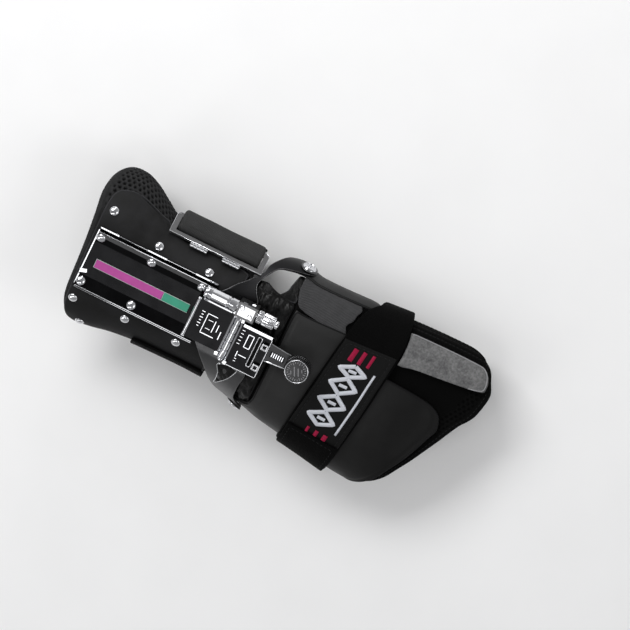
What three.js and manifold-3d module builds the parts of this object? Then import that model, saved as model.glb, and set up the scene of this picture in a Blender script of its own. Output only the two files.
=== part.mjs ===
// Bowling wrist support glove for the right hand, lying on its straps with the back of the hand up.
// Millimetres. +Y runs from the elbow end to the fingers, +Z points up from the back of the hand
// and +X to the little finger side. The origin is under the middle of the glove's box.
import * as THREE from 'three';
import { mergeVertices } from 'three/addons/utils/BufferGeometryUtils.js';
import Module from 'manifold-3d';

// Driving sizes of the whole glove
const FULL_LENGTH = 284; // elbow end of the liner to its tip over the index finger
const ARM_HALF = 40; // half the forearm's width inside the liner
const ARM_DEPTH = 47.5; // the forearm's depth inside the liner
const ROUNDING = 1.2; // height of the section's ellipse over its flattened height
const GAP = 0.4; // clearance between layers of cloth and plate
const SEAT = 0.3; // clearance between a hard piece and what carries it

// Thicknesses of the layers, from the inside outwards
const PAD_T = 4; // spacer mesh liner
const SHELL_T = 2; // covered plate
const STRAP_T = 2; // webbing strap
const YOKE_T = 2;
const PATCH_T = 1.2;
const SPLINT_T = 5; // index finger splint with its filling
const END_T = 1.6; // free end of the hand strap

// Tray and strips on the forearm
const TRAY_FROM = 9.5; // from the elbow end
const TRAY_LENGTH = 85;
const TRAY_HALF = 22;
const TRAY_FLOOR_T = 1.4;
const TRAY_RIM_H = 4.2;
const TRAY_FLANGE_T = 1;
const TRAY_SLOPE = 7.6; // width of the sloping strips
const TRAY_RIM_OUT = 1.8; // from the tray's edge to the rim's outer and inner sides
const TRAY_RIM_IN = 2.4;
const STRIP_FROM = 16.5;
const STRIP_WIDTH = 5.6;
const STRIP_SIDE = 1.3; // centre of the strips, off the tray's centre line
const STRIP_T = 0.5;
const STRIP_MAGENTA = 48;
const STRIP_GREEN = 18.2;
const STRIP_SPACE = 0.6;

// Rivets
const RIVET_R = 3.3;
const RIVET_H = 2;
const RIVET_FIRST = 12.8;
const RIVET_PITCH = 36.3;
const RIVET_ROW_TURN = 37.5; // rows on the shell, in degrees round the section
const FLANK_RIVET_AT = 22.9;
const FLANK_RIVET_TURN = 67.5;

// Adjuster plates
const CARRIAGE_GAP = 77; // tray's start to the carriage's start
const CARRIAGE_LENGTH = 26.5;
const CARRIAGE_WIDTH = 29;
const CARRIAGE_SIDE = 3.1;
const CARRIAGE_T = 2;
const CARRIAGE_FOOT = 21; // width of the foot that runs in the tray
const LIP_H = 1.6; // turned edge of the carriage
const LIP_T = 1.8;
const HINGE_R = 2.5;
const HINGE_LENGTH = 31.5;
const HINGE_SIDE = 4.7;
const HINGE_KNUCKLES = 5;
const PLATE_LENGTH = 22.8;
const PLATE_WIDTH = 31.4;
const PLATE_SIDE = 7.1;
const PLATE_T = 2;
const PLATE_FLANGE_H = 3;
const PLATE_FLANGE_FROM = 2; // from the plate's start
const PLATE_SLOT = 1.6;
const PLATE_SLOT_AT = 14.6;
const PLATE_SLOT_FROM = 0.16; // start and length of the slot, shares of PLATE_WIDTH
const PLATE_SLOT_RUN = 0.66;
const POSTS = [['thumb', 0.28], ['little', 0.76]]; // shares of PLATE_WIDTH
const POST_INSET = 0.8;
const POST_SIZE = 3.8;
const POST_H = 2.6;

// Lead screw on the thumb side of the plates
const SCREW_SIDE = 17.2;
const BARREL_R = 4.3;
const BARREL_LENGTH = 23.5;
const CORE_R = 2.4;
const ROD_R = 1.8;
const BLOCK_LENGTH = 13;
const BLOCK_WIDTH = 10.5;
const NUT_R = 4.3;
const NUT_LENGTH = 13;
const NUT_TEETH = 14;
const NUT_TOOTH = 0.4;
const SCREW_BEHIND = 1.5; // from the carriage's start to the barrel's
const BARREL_SINK = 0.2; // of the barrel below the tray's rim
const SPIN_GAP = 0.4; // running clearance of what turns
const CAP_R = 3;
const CAP_T = 2;

// Dial and its arm
const DIAL_R = 8.8;
const DIAL_H = 9.5;
const DIAL_TEETH = 24;
const DIAL_TOOTH = 0.5;
const DIAL_REACH = 22.6; // front plate's front edge to the dial's centre
const DIAL_SIDE = 3.6;
const ARM_PLATE_T = 2;
const ARM_WIDE = 13;
const ARM_NARROW = 9;
const ARM_UNDER = 9; // how far the arm reaches under the front plate
const PIN_R = 2.4;
const PIN_SINK = 0.8; // of the pin's top below the dial's face

// Wishbone and its pivots
const YOKE_SPACE = 1.5; // tray's end to the wishbone
const YOKE_LENGTH = 52;
const EAR_R = 7.6; // from a pivot to the end of the plate that it holds
const PIVOT_R = 2.2;
const PIVOT_HEAD_R = 4.6;
const PIVOT_HEAD_H = 2.2;
const PIVOT_TURN = 82.5;
const PIVOT_THUMB_AT = 0.885; // shares of YOKE_LENGTH
const PIVOT_LITTLE_AT = 0.781;

// Strap ring on the thumb side
const RING_LENGTH = 66;
const RING_SPACE = 0.7; // ring's end to the wishbone
const FLARE_FADE = 8.5; // length over which the liner's flare ends before the ring
const RING_BAR = 3.6;
const RING_T = 1.6;
const RING_WIDTH = 20;
const RING_CORNER = 3;
const RING_INNER_TURN = -57;
const RING_OUTER_TURN = -84;
const KNUCKLE_R = 1.7;
const KNUCKLE_LENGTH = 12.5;
const KNUCKLE_AT = [0.24, 0.59]; // shares of the ring's length
const FOLD_WIDTH = 18;
const FOLD_T = 5.8;
const FOLD_WALL = 1.2; // under the ring's bar
const FOLD_SPACE = 1.5; // from the hinged bar to the fold
const RING_LIFT = 0.6; // of the ring's hinged bar over the straps
const RING_LIFT_OUTER = 1.6;

// Fineness of the curved pieces
const TURN_STEP = 7.5; // degrees
const ROW_COUNT = 24;
const ROUND_SIDES = 20;

// Offsets of the layers from the inner form, the hollow that the glove wraps
const SHELL_IN = PAD_T + GAP;
const SHELL_OUT = SHELL_IN + SHELL_T;
const STRAP_IN = SHELL_OUT + GAP;
const STRAP_OUT = STRAP_IN + STRAP_T;
const YOKE_IN = SHELL_OUT + SEAT;
const YOKE_OUT = YOKE_IN + YOKE_T;

// Places along the glove, from its elbow end
const TRAY_END = TRAY_FROM + TRAY_LENGTH;
const YOKE_FROM = TRAY_END + YOKE_SPACE;
const PIVOT_THUMB = YOKE_FROM + PIVOT_THUMB_AT * YOKE_LENGTH;
const PIVOT_LITTLE = YOKE_FROM + PIVOT_LITTLE_AT * YOKE_LENGTH;
const YOKE_SHOULDER = 0.398; // the wishbone's edge behind the ring, a share of its length
const RING_END = YOKE_FROM + YOKE_SHOULDER * YOKE_LENGTH - RING_SPACE;
const RING_FROM = RING_END - RING_LENGTH;
const share = (length) => length / FULL_LENGTH;

// Sections of the inner form. at is a share of FULL_LENGTH, thumb and little are the half
// widths as shares of ARM_HALF, back is the depth as a share of ARM_DEPTH.
const SECTIONS = [
  { at: 0.0, thumb: 1.27, little: 1.12, back: 1.0 },
  { at: 0.067, thumb: 1.36, little: 1.15, back: 1.0 },
  { at: 0.106, thumb: 1.27, little: 1.12, back: 1.0 },
  { at: share(RING_FROM - FLARE_FADE), thumb: 1.08, little: 1.06, back: 1.0 },
  { at: share(RING_FROM), thumb: 0.94, little: 1.03, back: 1.0 },
  { at: 0.225, thumb: 0.925, little: 1.0, back: 1.0 },
  { at: 0.384, thumb: 0.935, little: 1.0, back: 1.0 },
  { at: 0.454, thumb: 1.04, little: 1.1, back: 0.985 },
  { at: 0.504, thumb: 1.06, little: 1.22, back: 0.96 },
  { at: 0.542, thumb: 1.0, little: 1.3, back: 0.93 },
  { at: 0.658, thumb: 1.0, little: 1.46, back: 0.81 },
  { at: 0.771, thumb: 1.05, little: 1.6, back: 0.71 },
  { at: 0.894, thumb: 1.06, little: 1.58, back: 0.61 },
  { at: 1.0, thumb: 1.03, little: 1.5, back: 0.55 },
];

// Edges of the sheets. turn is in degrees round the section, 0 on the back and negative towards
// the thumb; from and to are shares of FULL_LENGTH.
const FOREARM_PAD = [
  { turn: -112.5, from: 0.07, to: 0.36 },
  { turn: -90, from: 0.025, to: 0.385 },
  { turn: -67.5, from: 0.004, to: 0.394 },
  { turn: -52.5, from: 0.0, to: 0.394 },
  { turn: -30, from: 0.007, to: 0.394 },
  { turn: 0, from: 0.015, to: 0.394 },
  { turn: 37.5, from: 0.021, to: 0.394 },
  { turn: 60, from: 0.032, to: 0.394 },
  { turn: 82.5, from: 0.052, to: 0.39 },
  { turn: 97.5, from: 0.08, to: 0.38 },
  { turn: 112.5, from: 0.11, to: 0.36 },
];
const FOREARM_SHELL = [
  { turn: -52.5, from: 0.058, to: 0.385 },
  { turn: -45, from: 0.026, to: 0.385 },
  { turn: -37.5, from: 0.023, to: 0.385 },
  { turn: 0, from: 0.025, to: 0.385 },
  { turn: 45, from: 0.03, to: 0.385 },
  { turn: 67.5, from: 0.046, to: 0.385 },
  { turn: 82.5, from: 0.085, to: 0.375 },
];
// The forearm strap's edges, as shares of RING_LENGTH from the ring's start
const FOREARM_STRAP = [
  { turn: -300, from: 0.129, to: 0.903 },
  { turn: -180, from: 0.103, to: 0.912 },
  { turn: -97.5, from: 0.094, to: 0.95 },
];
const WRIST_PAD = [
  { turn: -45, from: 0.3965, to: 0.452 },
  { turn: -37.5, from: 0.3965, to: 0.488 },
  { turn: -22.5, from: 0.3965, to: 0.506 },
  { turn: 60, from: 0.3965, to: 0.506 },
  { turn: 82.5, from: 0.41, to: 0.48 },
];
// The wishbone's edges, as shares of YOKE_LENGTH from its start
const YOKE = [
  { turn: -97.5, from: 0.731, to: 0.863 },
  { turn: -90, from: 0.6, to: 0.977 },
  { turn: -82.5, from: 0.535, to: 1 },
  { turn: -75, from: 0.486, to: 0.961 },
  { turn: -67.5, from: 0.425, to: 0.6 },
  { turn: -60, from: 0.41, to: 0.535 },
  { turn: -52.5, from: YOKE_SHOULDER, to: 0.492 },
  { turn: -45, from: 0.295, to: 0.426 },
  { turn: -37.5, from: 0.169, to: 0.448 },
  { turn: -30, from: 0.077, to: 0.502 },
  { turn: -22.5, from: 0, to: 0.529 },
  { turn: 22.5, from: 0, to: 0.666 },
  { turn: 30, from: 0.077, to: 0.754 },
  { turn: 45, from: 0.229, to: 0.731 },
  { turn: 60, from: 0.35, to: 0.731 },
  { turn: 75, from: 0.47, to: 0.819 },
  { turn: 82.5, from: 0.557, to: 0.879 },
  { turn: 90, from: 0.612, to: 0.863 },
  { turn: 97.5, from: 0.688, to: 0.787 },
];
const INDEX_WING = [
  { turn: -105, from: 0.735, to: 0.905 },
  { turn: -90, from: 0.712, to: 0.935 },
  { turn: -82.5, from: 0.7, to: 0.952 },
  { turn: -75.6, from: 0.698, to: 0.962 },
];
const HAND_PAD = [
  { turn: -75, from: 0.512, to: 0.963 },
  { turn: -52.5, from: 0.508, to: 0.989 },
  { turn: -37.5, from: 0.5085, to: 1.0 },
  { turn: -15, from: 0.5085, to: 0.991 },
  { turn: 7.5, from: 0.5085, to: 0.953 },
  { turn: 30, from: 0.5085, to: 0.911 },
  { turn: 45, from: 0.5085, to: 0.885 },
  { turn: 60, from: 0.5085, to: 0.863 },
  { turn: 82.5, from: 0.5085, to: 0.817 },
  { turn: 97.5, from: 0.53, to: 0.77 },
  { turn: 105, from: 0.56, to: 0.735 },
];
const HAND_SHELL = [
  { turn: -37.5, from: 0.516, to: 0.705 },
  { turn: -30, from: 0.514, to: 0.712 },
  { turn: -15, from: 0.514, to: 0.72 },
  { turn: -7.5, from: 0.514, to: 0.885 },
  { turn: 0, from: 0.514, to: 0.917 },
  { turn: 7.5, from: 0.514, to: 0.925 },
  { turn: 15, from: 0.514, to: 0.915 },
  { turn: 30, from: 0.514, to: 0.893 },
  { turn: 45, from: 0.514, to: 0.868 },
  { turn: 60, from: 0.508, to: 0.846 },
  { turn: 75, from: share(PIVOT_LITTLE - EAR_R * 0.55), to: 0.818 },
  { turn: 90, from: share(PIVOT_LITTLE - EAR_R), to: 0.778 },
  { turn: 97.5, from: share(PIVOT_LITTLE - EAR_R * 0.8), to: 0.747 },
];
const THUMB_BAND = [
  { turn: -97.5, from: share(PIVOT_THUMB - EAR_R * 0.5), to: 0.66 },
  { turn: -90, from: share(PIVOT_THUMB - EAR_R * 0.9), to: 0.682 },
  { turn: -82.5, from: share(PIVOT_THUMB - EAR_R), to: 0.69 },
  { turn: -75, from: share(PIVOT_THUMB - EAR_R * 0.9), to: 0.694 },
];
const THUMB_PATCH = [
  { turn: -73.5, from: 0.502, to: 0.647 },
  { turn: -60, from: 0.502, to: 0.644 },
  { turn: -45, from: 0.512, to: 0.634 },
  { turn: -38.7, from: 0.518, to: 0.592 },
];
const INDEX_PANEL = [
  { turn: -60, from: 0.786, to: 0.944 },
  { turn: -52.5, from: 0.787, to: 0.962 },
  { turn: -45, from: 0.788, to: 0.971 },
  { turn: -37.5, from: 0.788, to: 0.974 },
  { turn: -30, from: 0.788, to: 0.972 },
];
const HAND_STRAP = [
  { turn: -90, from: 0.697, to: 0.764 },
  { turn: -67.5, from: 0.662, to: 0.771 },
  { turn: -45, from: 0.646, to: 0.777 },
  { turn: 0, from: 0.627, to: 0.766 },
  { turn: 45, from: 0.607, to: 0.745 },
  { turn: 90, from: 0.6, to: 0.733 },
  { turn: 135, from: 0.607, to: 0.733 },
  { turn: 180, from: 0.634, to: 0.746 },
  { turn: 225, from: 0.676, to: 0.757 },
  { turn: 270, from: 0.697, to: 0.764 },
];
const STRAP_END = [
  { turn: 45, from: 0.611, to: 0.741 },
  { turn: 90, from: 0.604, to: 0.729 },
  { turn: 112.5, from: 0.608, to: 0.729 },
];

const RAD = Math.PI / 180;
const wasm = await Module();
wasm.setup();

// Value of one column of a table at key, on a smooth curve through its rows
function smoothColumn(table, key, column) {
  const last = table.length - 1;
  let row = 0;
  while (row < last - 1 && table[row + 1].at < key) row += 1;
  const span = table[row + 1].at - table[row].at;
  const t = THREE.MathUtils.clamp((key - table[row].at) / span, 0, 1);
  const slope = (index) => {
    const before = table[Math.max(index - 1, 0)];
    const after = table[Math.min(index + 1, last)];
    return (after[column] - before[column]) / (after.at - before.at);
  };
  const rise = 3 * t * t - 2 * t * t * t;
  const lead = t * (1 - t) * (1 - t);
  const lag = t * t * (1 - t);
  const level = table[row][column] * (1 - rise) + table[row + 1][column] * rise;
  return level + span * (lead * slope(row) - lag * slope(row + 1));
}

// Value of one column of an edge table at a turn, straight between its rows
function edgeColumn(table, turn, column) {
  let row = 0;
  while (row < table.length - 2 && table[row + 1].turn < turn) row += 1;
  const low = table[row];
  const high = table[row + 1];
  const t = THREE.MathUtils.clamp((turn - low.turn) / (high.turn - low.turn), 0, 1);
  return low[column] + t * (high[column] - low[column]);
}

// The rows of the inner form, worked out once from the sections
const rows = Array.from({ length: ROW_COUNT + 1 }, (_, index) => {
  const at = index / ROW_COUNT;
  const half = (smoothColumn(SECTIONS, at, 'back') * ARM_DEPTH) / 2;
  return {
    y: at * FULL_LENGTH,
    thumb: smoothColumn(SECTIONS, at, 'thumb') * ARM_HALF,
    little: smoothColumn(SECTIONS, at, 'little') * ARM_HALF,
    half,
    centre: STRAP_OUT + half,
  };
});

// A row's point: an ellipse moved out along its normal, flattened on the back and at the palm
function rowPoint(row, turn, offset) {
  const sine = Math.sin(turn * RAD);
  const cosine = Math.cos(turn * RAD);
  const wide = sine < 0 ? row.thumb : row.little;
  const tall = row.half * ROUNDING;
  const normal = new THREE.Vector2(tall * sine, wide * cosine).normalize();
  const limit = row.half + offset;
  const rise = THREE.MathUtils.clamp(tall * cosine + normal.y * offset, -limit, limit);
  return new THREE.Vector3(wide * sine + normal.x * offset, row.y, row.centre + rise);
}

// Point of the form at a length, a turn and an offset, straight between rows
function envelope(y, turn, offset) {
  const place = THREE.MathUtils.clamp((y / FULL_LENGTH) * ROW_COUNT, 0, ROW_COUNT - 1e-9);
  const index = Math.floor(place);
  const low = rowPoint(rows[index], turn, offset);
  return low.lerp(rowPoint(rows[index + 1], turn, offset), place - index);
}

// Seat of a flat disc on a layer: its outward direction, and its place, lifted so that the disc
// clears the layer's faces all over by SEAT
function seatOn(y, turn, offset, radius) {
  const reach = radius * 0.9;
  const swing = (reach / ARM_HALF) / RAD;
  const across = envelope(y, turn + swing, offset).sub(envelope(y, turn - swing, offset));
  const along = envelope(y + reach, turn, offset).sub(envelope(y - reach, turn, offset));
  const normal = new THREE.Vector3().crossVectors(across, along).normalize();
  const place = envelope(y, turn, offset);
  let lift = 0;
  for (let k = 0; k < 64; k += 1) {
    const dy = ((k % 8) / 3.5 - 1) * radius;
    const dturn = (Math.floor(k / 8) / 3.5 - 1) * (radius / ARM_HALF / RAD) * 1.6;
    const near = envelope(y + dy, turn + dturn, offset).sub(place);
    if (near.length() <= radius * 1.1) lift = Math.max(lift, near.dot(normal));
  }
  place.addScaledVector(normal, lift + SEAT);
  return { place, normal };
}

// A closed mesh from points and triangles: welds equal points, drops collapsed triangles and
// turns the faces outwards
function closedMesh(points, triangles) {
  const keys = new Map();
  const kept = [];
  const index = points.map((point) => {
    const key = point.toArray().map((value) => Math.round(value * 1e4)).join();
    if (!keys.has(key)) {
      keys.set(key, kept.length);
      kept.push(point);
    }
    return keys.get(key);
  });
  let faces = triangles.map((face) => face.map((corner) => index[corner]));
  faces = faces.filter(([a, b, c]) => a !== b && b !== c && c !== a);
  const volume = faces.reduce((sum, [a, b, c]) => {
    return sum + kept[a].dot(new THREE.Vector3().crossVectors(kept[b], kept[c]));
  }, 0);
  if (volume < 0) faces = faces.map(([a, b, c]) => [a, c, b]);
  const geometry = new THREE.BufferGeometry();
  const flat = kept.flatMap((point) => point.toArray());
  geometry.setAttribute('position', new THREE.Float32BufferAttribute(flat, 3));
  geometry.setIndex(faces.flat());
  return geometry;
}

// A sheet that lies on the inner form between two offsets. Its table gives both ends for each turn.
// The rows between the ends are the form's own, so layers stay clear of each other.
function sheet(table, inner, outer, closed = false, start = 0, length = FULL_LENGTH) {
  const first = table[0].turn;
  const last = table[table.length - 1].turn;
  const turns = [first];
  for (let k = Math.floor(first / TURN_STEP) + 1; k * TURN_STEP < last - 0.01; k += 1) {
    turns.push(k * TURN_STEP);
  }
  if (!closed) turns.push(last);
  const ends = turns.map((turn) => ({
    from: start + edgeColumn(table, turn, 'from') * length,
    to: start + edgeColumn(table, turn, 'to') * length,
  }));
  const low = Math.min(...ends.map((end) => end.from));
  const high = Math.max(...ends.map((end) => end.to));
  const lines = rows.map((row) => row.y).filter((y) => y > low + 0.5 && y < high - 0.5);
  const levels = [low, ...lines, high];
  const columns = turns.length;
  const grid = (offset) => levels.flatMap((level) => turns.map((turn, column) => {
    const y = THREE.MathUtils.clamp(level, ends[column].from, ends[column].to);
    return envelope(y, turn, offset);
  }));
  const points = [...grid(inner), ...grid(outer)];
  const shift = levels.length * columns;
  const faces = [];
  const quad = (a, b, c, d) => faces.push([a, b, c], [a, c, d]);
  const spans = closed ? columns : columns - 1;
  const top = (levels.length - 1) * columns;
  for (let column = 0; column < spans; column += 1) {
    const next = (column + 1) % columns;
    for (let level = 0; level < levels.length - 1; level += 1) {
      const a = level * columns + column;
      const b = level * columns + next;
      quad(a, b, b + columns, a + columns);
      quad(shift + a, shift + a + columns, shift + b + columns, shift + b);
    }
    quad(column, shift + column, shift + next, next);
    quad(top + column, top + next, shift + top + next, shift + top + column);
  }
  if (!closed) {
    for (let level = 0; level < levels.length - 1; level += 1) {
      const a = level * columns;
      const b = a + columns - 1;
      quad(a, a + columns, shift + a + columns, shift + a);
      quad(b, shift + b, shift + b + columns, b + columns);
    }
  }
  return closedMesh(points, faces);
}

// Solid for joining and cutting, from any closed geometry
function solid(geometry) {
  const bare = geometry.clone();
  bare.deleteAttribute('normal');
  bare.deleteAttribute('uv');
  const welded = mergeVertices(bare, 1e-4);
  return new wasm.Manifold(new wasm.Mesh({
    numProp: 3,
    vertProperties: new Float32Array(welded.attributes.position.array),
    triVerts: new Uint32Array(welded.index.array),
  }));
}

// Geometry of a joined or cut solid
function fromSolid(shape) {
  const mesh = shape.getMesh();
  const geometry = new THREE.BufferGeometry();
  geometry.setAttribute('position', new THREE.BufferAttribute(mesh.vertProperties, 3));
  geometry.setIndex(new THREE.BufferAttribute(mesh.triVerts, 1));
  return geometry;
}

const cut = (geometry, tool) => fromSolid(solid(geometry).subtract(solid(tool)));
const join = (geometry, other) => fromSolid(solid(geometry).add(solid(other)));

// A box by its low corner and its size
function block(x, y, z, width, length, height) {
  const geometry = new THREE.BoxGeometry(width, length, height);
  return geometry.translate(x + width / 2, y + length / 2, z + height / 2);
}

// A turned piece along +Y from pairs of radius and length, closed on its axis
function turned(profile, sides = ROUND_SIDES) {
  return new THREE.LatheGeometry(profile.map(([r, y]) => new THREE.Vector2(r, y)), sides);
}

// A cylinder along +Y that starts at y 0
const rod = (radius, length, sides = ROUND_SIDES) => turned(
  [[0, 0], [radius, 0], [radius, length], [0, length]],
  sides,
);

// A toothed wheel along +Z with a bore through it
function toothed(radius, bore, height, teeth, depth) {
  const shape = new THREE.Shape();
  for (let k = 0; k < teeth * 2; k += 1) {
    const reach = k % 2 === 0 ? radius : radius - depth;
    const angle = (k * Math.PI) / teeth;
    const move = k === 0 ? 'moveTo' : 'lineTo';
    shape[move](reach * Math.cos(angle), reach * Math.sin(angle));
  }
  shape.closePath();
  const hole = new THREE.Path();
  hole.absarc(0, 0, bore, 0, 2 * Math.PI, true);
  shape.holes.push(hole);
  const options = { depth: height, bevelEnabled: false, curveSegments: ROUND_SIDES / 2 };
  return new THREE.ExtrudeGeometry(shape, options);
}

// Flat geometry drawn in X and Z, carried along +Y from y
function alongY(shape, y, length) {
  const options = { depth: length, bevelEnabled: false, curveSegments: 4 };
  const geometry = new THREE.ExtrudeGeometry(shape, options);
  return geometry.rotateX(Math.PI / 2).translate(0, y + length, 0);
}

const outline = (pairs) => new THREE.Shape(pairs.map(([x, y]) => new THREE.Vector2(x, y)));

// Finishes
const finish = (color, roughness, metalness) => ({ color, roughness, metalness });
const MESH_CLOTH = finish('#1b1b1c', 0.95, 0);
const COVERED = finish('#202022', 0.6, 0);
const VINYL = finish('#161617', 0.42, 0);
const WEBBING = finish('#131314', 0.9, 0);
const SUEDE = finish('#6f7072', 0.95, 0);
const LOOP = finish('#3c3c3e', 0.95, 0);
const BLACK_CHROME = finish('#2c2c2f', 0.2, 1);
const CHROME = finish('#b9babd', 0.15, 1);
const STEEL = finish('#55565a', 0.3, 1);
const MAGENTA = finish('#b8329a', 0.4, 0);
const GREEN = finish('#2f9a7c', 0.4, 0);

const glove = new THREE.Group();

function add(name, geometry, look, parent = glove) {
  const mesh = new THREE.Mesh(geometry, new THREE.MeshStandardMaterial(look));
  mesh.name = name;
  parent.add(mesh);
  return mesh;
}

// Points a mesh's +Y along a direction
function aim(mesh, place, direction) {
  mesh.position.copy(place);
  mesh.quaternion.setFromUnitVectors(new THREE.Vector3(0, 1, 0), direction);
  return mesh;
}

// Heights on the flat back of the forearm
const shellTop = rows[0].centre + rows[0].half + SHELL_OUT;
const trayBase = shellTop + SEAT;
const trayFloor = trayBase + TRAY_FLOOR_T;
const yokeTop = shellTop + SEAT + YOKE_T;
const plateBase = yokeTop + SEAT + HINGE_R - PLATE_T / 2;

// Places along the glove
const carriageFrom = TRAY_FROM + CARRIAGE_GAP;
const carriageEnd = carriageFrom + CARRIAGE_LENGTH;
const hingeAt = carriageEnd + SEAT + HINGE_R;
const plateFrom = hingeAt + HINGE_R + SEAT;
const plateEnd = plateFrom + PLATE_LENGTH;
const dialAt = plateEnd + DIAL_REACH;

// Liner, plates and straps
add('forearm_pad', sheet(FOREARM_PAD, 0, PAD_T), MESH_CLOTH);
add('forearm_shell', sheet(FOREARM_SHELL, SHELL_IN, SHELL_OUT), COVERED);
const strapSheet = sheet(FOREARM_STRAP, STRAP_IN, STRAP_OUT, false, RING_FROM, RING_LENGTH);
add('forearm_strap', strapSheet, WEBBING);
add('wrist_pad', sheet(WRIST_PAD, 0, PAD_T), COVERED);
add('hand_pad', sheet(HAND_PAD, 0, PAD_T), MESH_CLOTH);
add('index_wing', sheet(INDEX_WING, 0, PAD_T), MESH_CLOTH);
add('thumb_patch', sheet(THUMB_PATCH, SHELL_IN, SHELL_IN + PATCH_T), LOOP);
add('index_panel', sheet(INDEX_PANEL, SHELL_IN, SHELL_IN + SPLINT_T), SUEDE);
add('hand_strap', sheet(HAND_STRAP, STRAP_IN, STRAP_OUT, true), WEBBING);
add('strap_end', sheet(STRAP_END, STRAP_OUT + GAP, STRAP_OUT + GAP + END_T), WEBBING);

// Wishbone, the plates that it pivots on, and the pivot screws through both
function pivot(name, at, turn) {
  const { place, normal } = seatOn(at, turn, YOKE_OUT, PIVOT_HEAD_R);
  const inner = envelope(at, turn, SHELL_IN);
  const shank = place.distanceTo(inner) - SEAT;
  const profile = [
    [0, -shank],
    [PIVOT_R, -shank],
    [PIVOT_R, 0],
    [PIVOT_HEAD_R, 0],
    [PIVOT_HEAD_R * 0.85, PIVOT_HEAD_H * 0.6],
    [PIVOT_HEAD_R * 0.45, PIVOT_HEAD_H * 0.95],
    [0, PIVOT_HEAD_H],
  ];
  const screw = aim(add(name, turned(profile, 14), CHROME), place, normal);
  screw.updateMatrix();
  const bore = rod(PIVOT_R + SEAT, shank * 4, 14).translate(0, -shank * 2, 0);
  return bore.applyMatrix4(screw.matrix);
}
const boreThumb = pivot('pivot_thumb', PIVOT_THUMB, -PIVOT_TURN);
const boreLittle = pivot('pivot_little', PIVOT_LITTLE, PIVOT_TURN);
const yokeSheet = sheet(YOKE, YOKE_IN, YOKE_OUT, false, YOKE_FROM, YOKE_LENGTH);
add('yoke', cut(cut(yokeSheet, boreThumb), boreLittle), STEEL);
add('thumb_band', cut(sheet(THUMB_BAND, SHELL_IN, SHELL_OUT), boreThumb), VINYL);
add('hand_shell', cut(sheet(HAND_SHELL, SHELL_IN, SHELL_OUT), boreLittle), VINYL);

// Pressed tray: a floor, two strips that slope up to the rims, and a flange outside them
const rimOut = TRAY_HALF - TRAY_RIM_OUT;
const rimIn = TRAY_HALF - TRAY_RIM_IN;
const floorHalf = rimIn - TRAY_SLOPE;
const trayProfile = outline([
  [-TRAY_HALF, 0],
  [TRAY_HALF, 0],
  [TRAY_HALF, TRAY_FLANGE_T],
  [rimOut, TRAY_FLANGE_T],
  [rimIn, TRAY_RIM_H],
  [floorHalf, TRAY_FLOOR_T],
  [-floorHalf, TRAY_FLOOR_T],
  [-rimIn, TRAY_RIM_H],
  [-rimOut, TRAY_FLANGE_T],
  [-TRAY_HALF, TRAY_FLANGE_T],
]);
const tray = alongY(trayProfile, TRAY_FROM, TRAY_LENGTH);
add('channel', tray, BLACK_CHROME).position.z = trayBase;

// Coloured strips on the tray's floor
function strip(name, from, length, look) {
  const low = STRIP_SIDE - STRIP_WIDTH / 2;
  add(name, block(low, from, trayFloor + SEAT, STRIP_WIDTH, length, STRIP_T), look);
}
strip('strip_magenta', STRIP_FROM, STRIP_MAGENTA, MAGENTA);
strip('strip_green', STRIP_FROM + STRIP_MAGENTA + STRIP_SPACE, STRIP_GREEN, GREEN);

// Domed rivets on the shell and on the tray's sloping strips
const rivetDome = () => turned([
  [0, 0],
  [RIVET_R, 0],
  [RIVET_R * 0.86, RIVET_H * 0.55],
  [RIVET_R * 0.5, RIVET_H * 0.92],
  [0, RIVET_H],
], 10);
const slopeRise = TRAY_RIM_H - TRAY_FLOOR_T;
const slopeRun = rimIn - floorHalf;
const slopeMiddle = (rimIn + floorHalf) / 2;
for (let k = 0; k < 3; k += 1) {
  const y = RIVET_FIRST + k * RIVET_PITCH;
  for (const [side, label] of [[-1, 'thumb'], [1, 'little']]) {
    const { place, normal: up } = seatOn(y, side * RIVET_ROW_TURN, SHELL_OUT, RIVET_R);
    aim(add(`rivet_shell_${label}_${k + 1}`, rivetDome(), CHROME), place, up);
    const underCarriage = side > 0 && y + RIVET_R > carriageFrom - SEAT;
    if (underCarriage) continue;
    const normal = new THREE.Vector3(-side * slopeRise, 0, slopeRun).normalize();
    const height = trayBase + (TRAY_RIM_H + TRAY_FLOOR_T) / 2;
    const onTray = new THREE.Vector3(side * slopeMiddle, y, height);
    onTray.addScaledVector(normal, SEAT);
    aim(add(`rivet_tray_${label}_${k + 1}`, rivetDome(), CHROME), onTray, normal);
  }
}
const flankSeat = seatOn(FLANK_RIVET_AT, FLANK_RIVET_TURN, SHELL_OUT, RIVET_R);
aim(add('rivet_flank', rivetDome(), CHROME), flankSeat.place, flankSeat.normal);

// Carriage: a plate on a foot that runs in the tray, with a turned edge at its elbow end
const carriageLow = CARRIAGE_SIDE - CARRIAGE_WIDTH / 2;
const footLow = -CARRIAGE_FOOT / 2;
const footBase = Math.max(trayFloor, yokeTop) + SEAT;
let carriage = block(
  carriageLow, carriageFrom, plateBase, CARRIAGE_WIDTH, CARRIAGE_LENGTH, CARRIAGE_T,
);
carriage = join(carriage, block(
  footLow, carriageFrom + 1, footBase, CARRIAGE_FOOT, CARRIAGE_LENGTH - 2, plateBase - footBase + 1,
));
carriage = join(carriage, block(
  carriageLow, carriageFrom, plateBase, CARRIAGE_WIDTH, LIP_T, CARRIAGE_T + LIP_H,
));
add('carriage', carriage, BLACK_CHROME);

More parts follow.
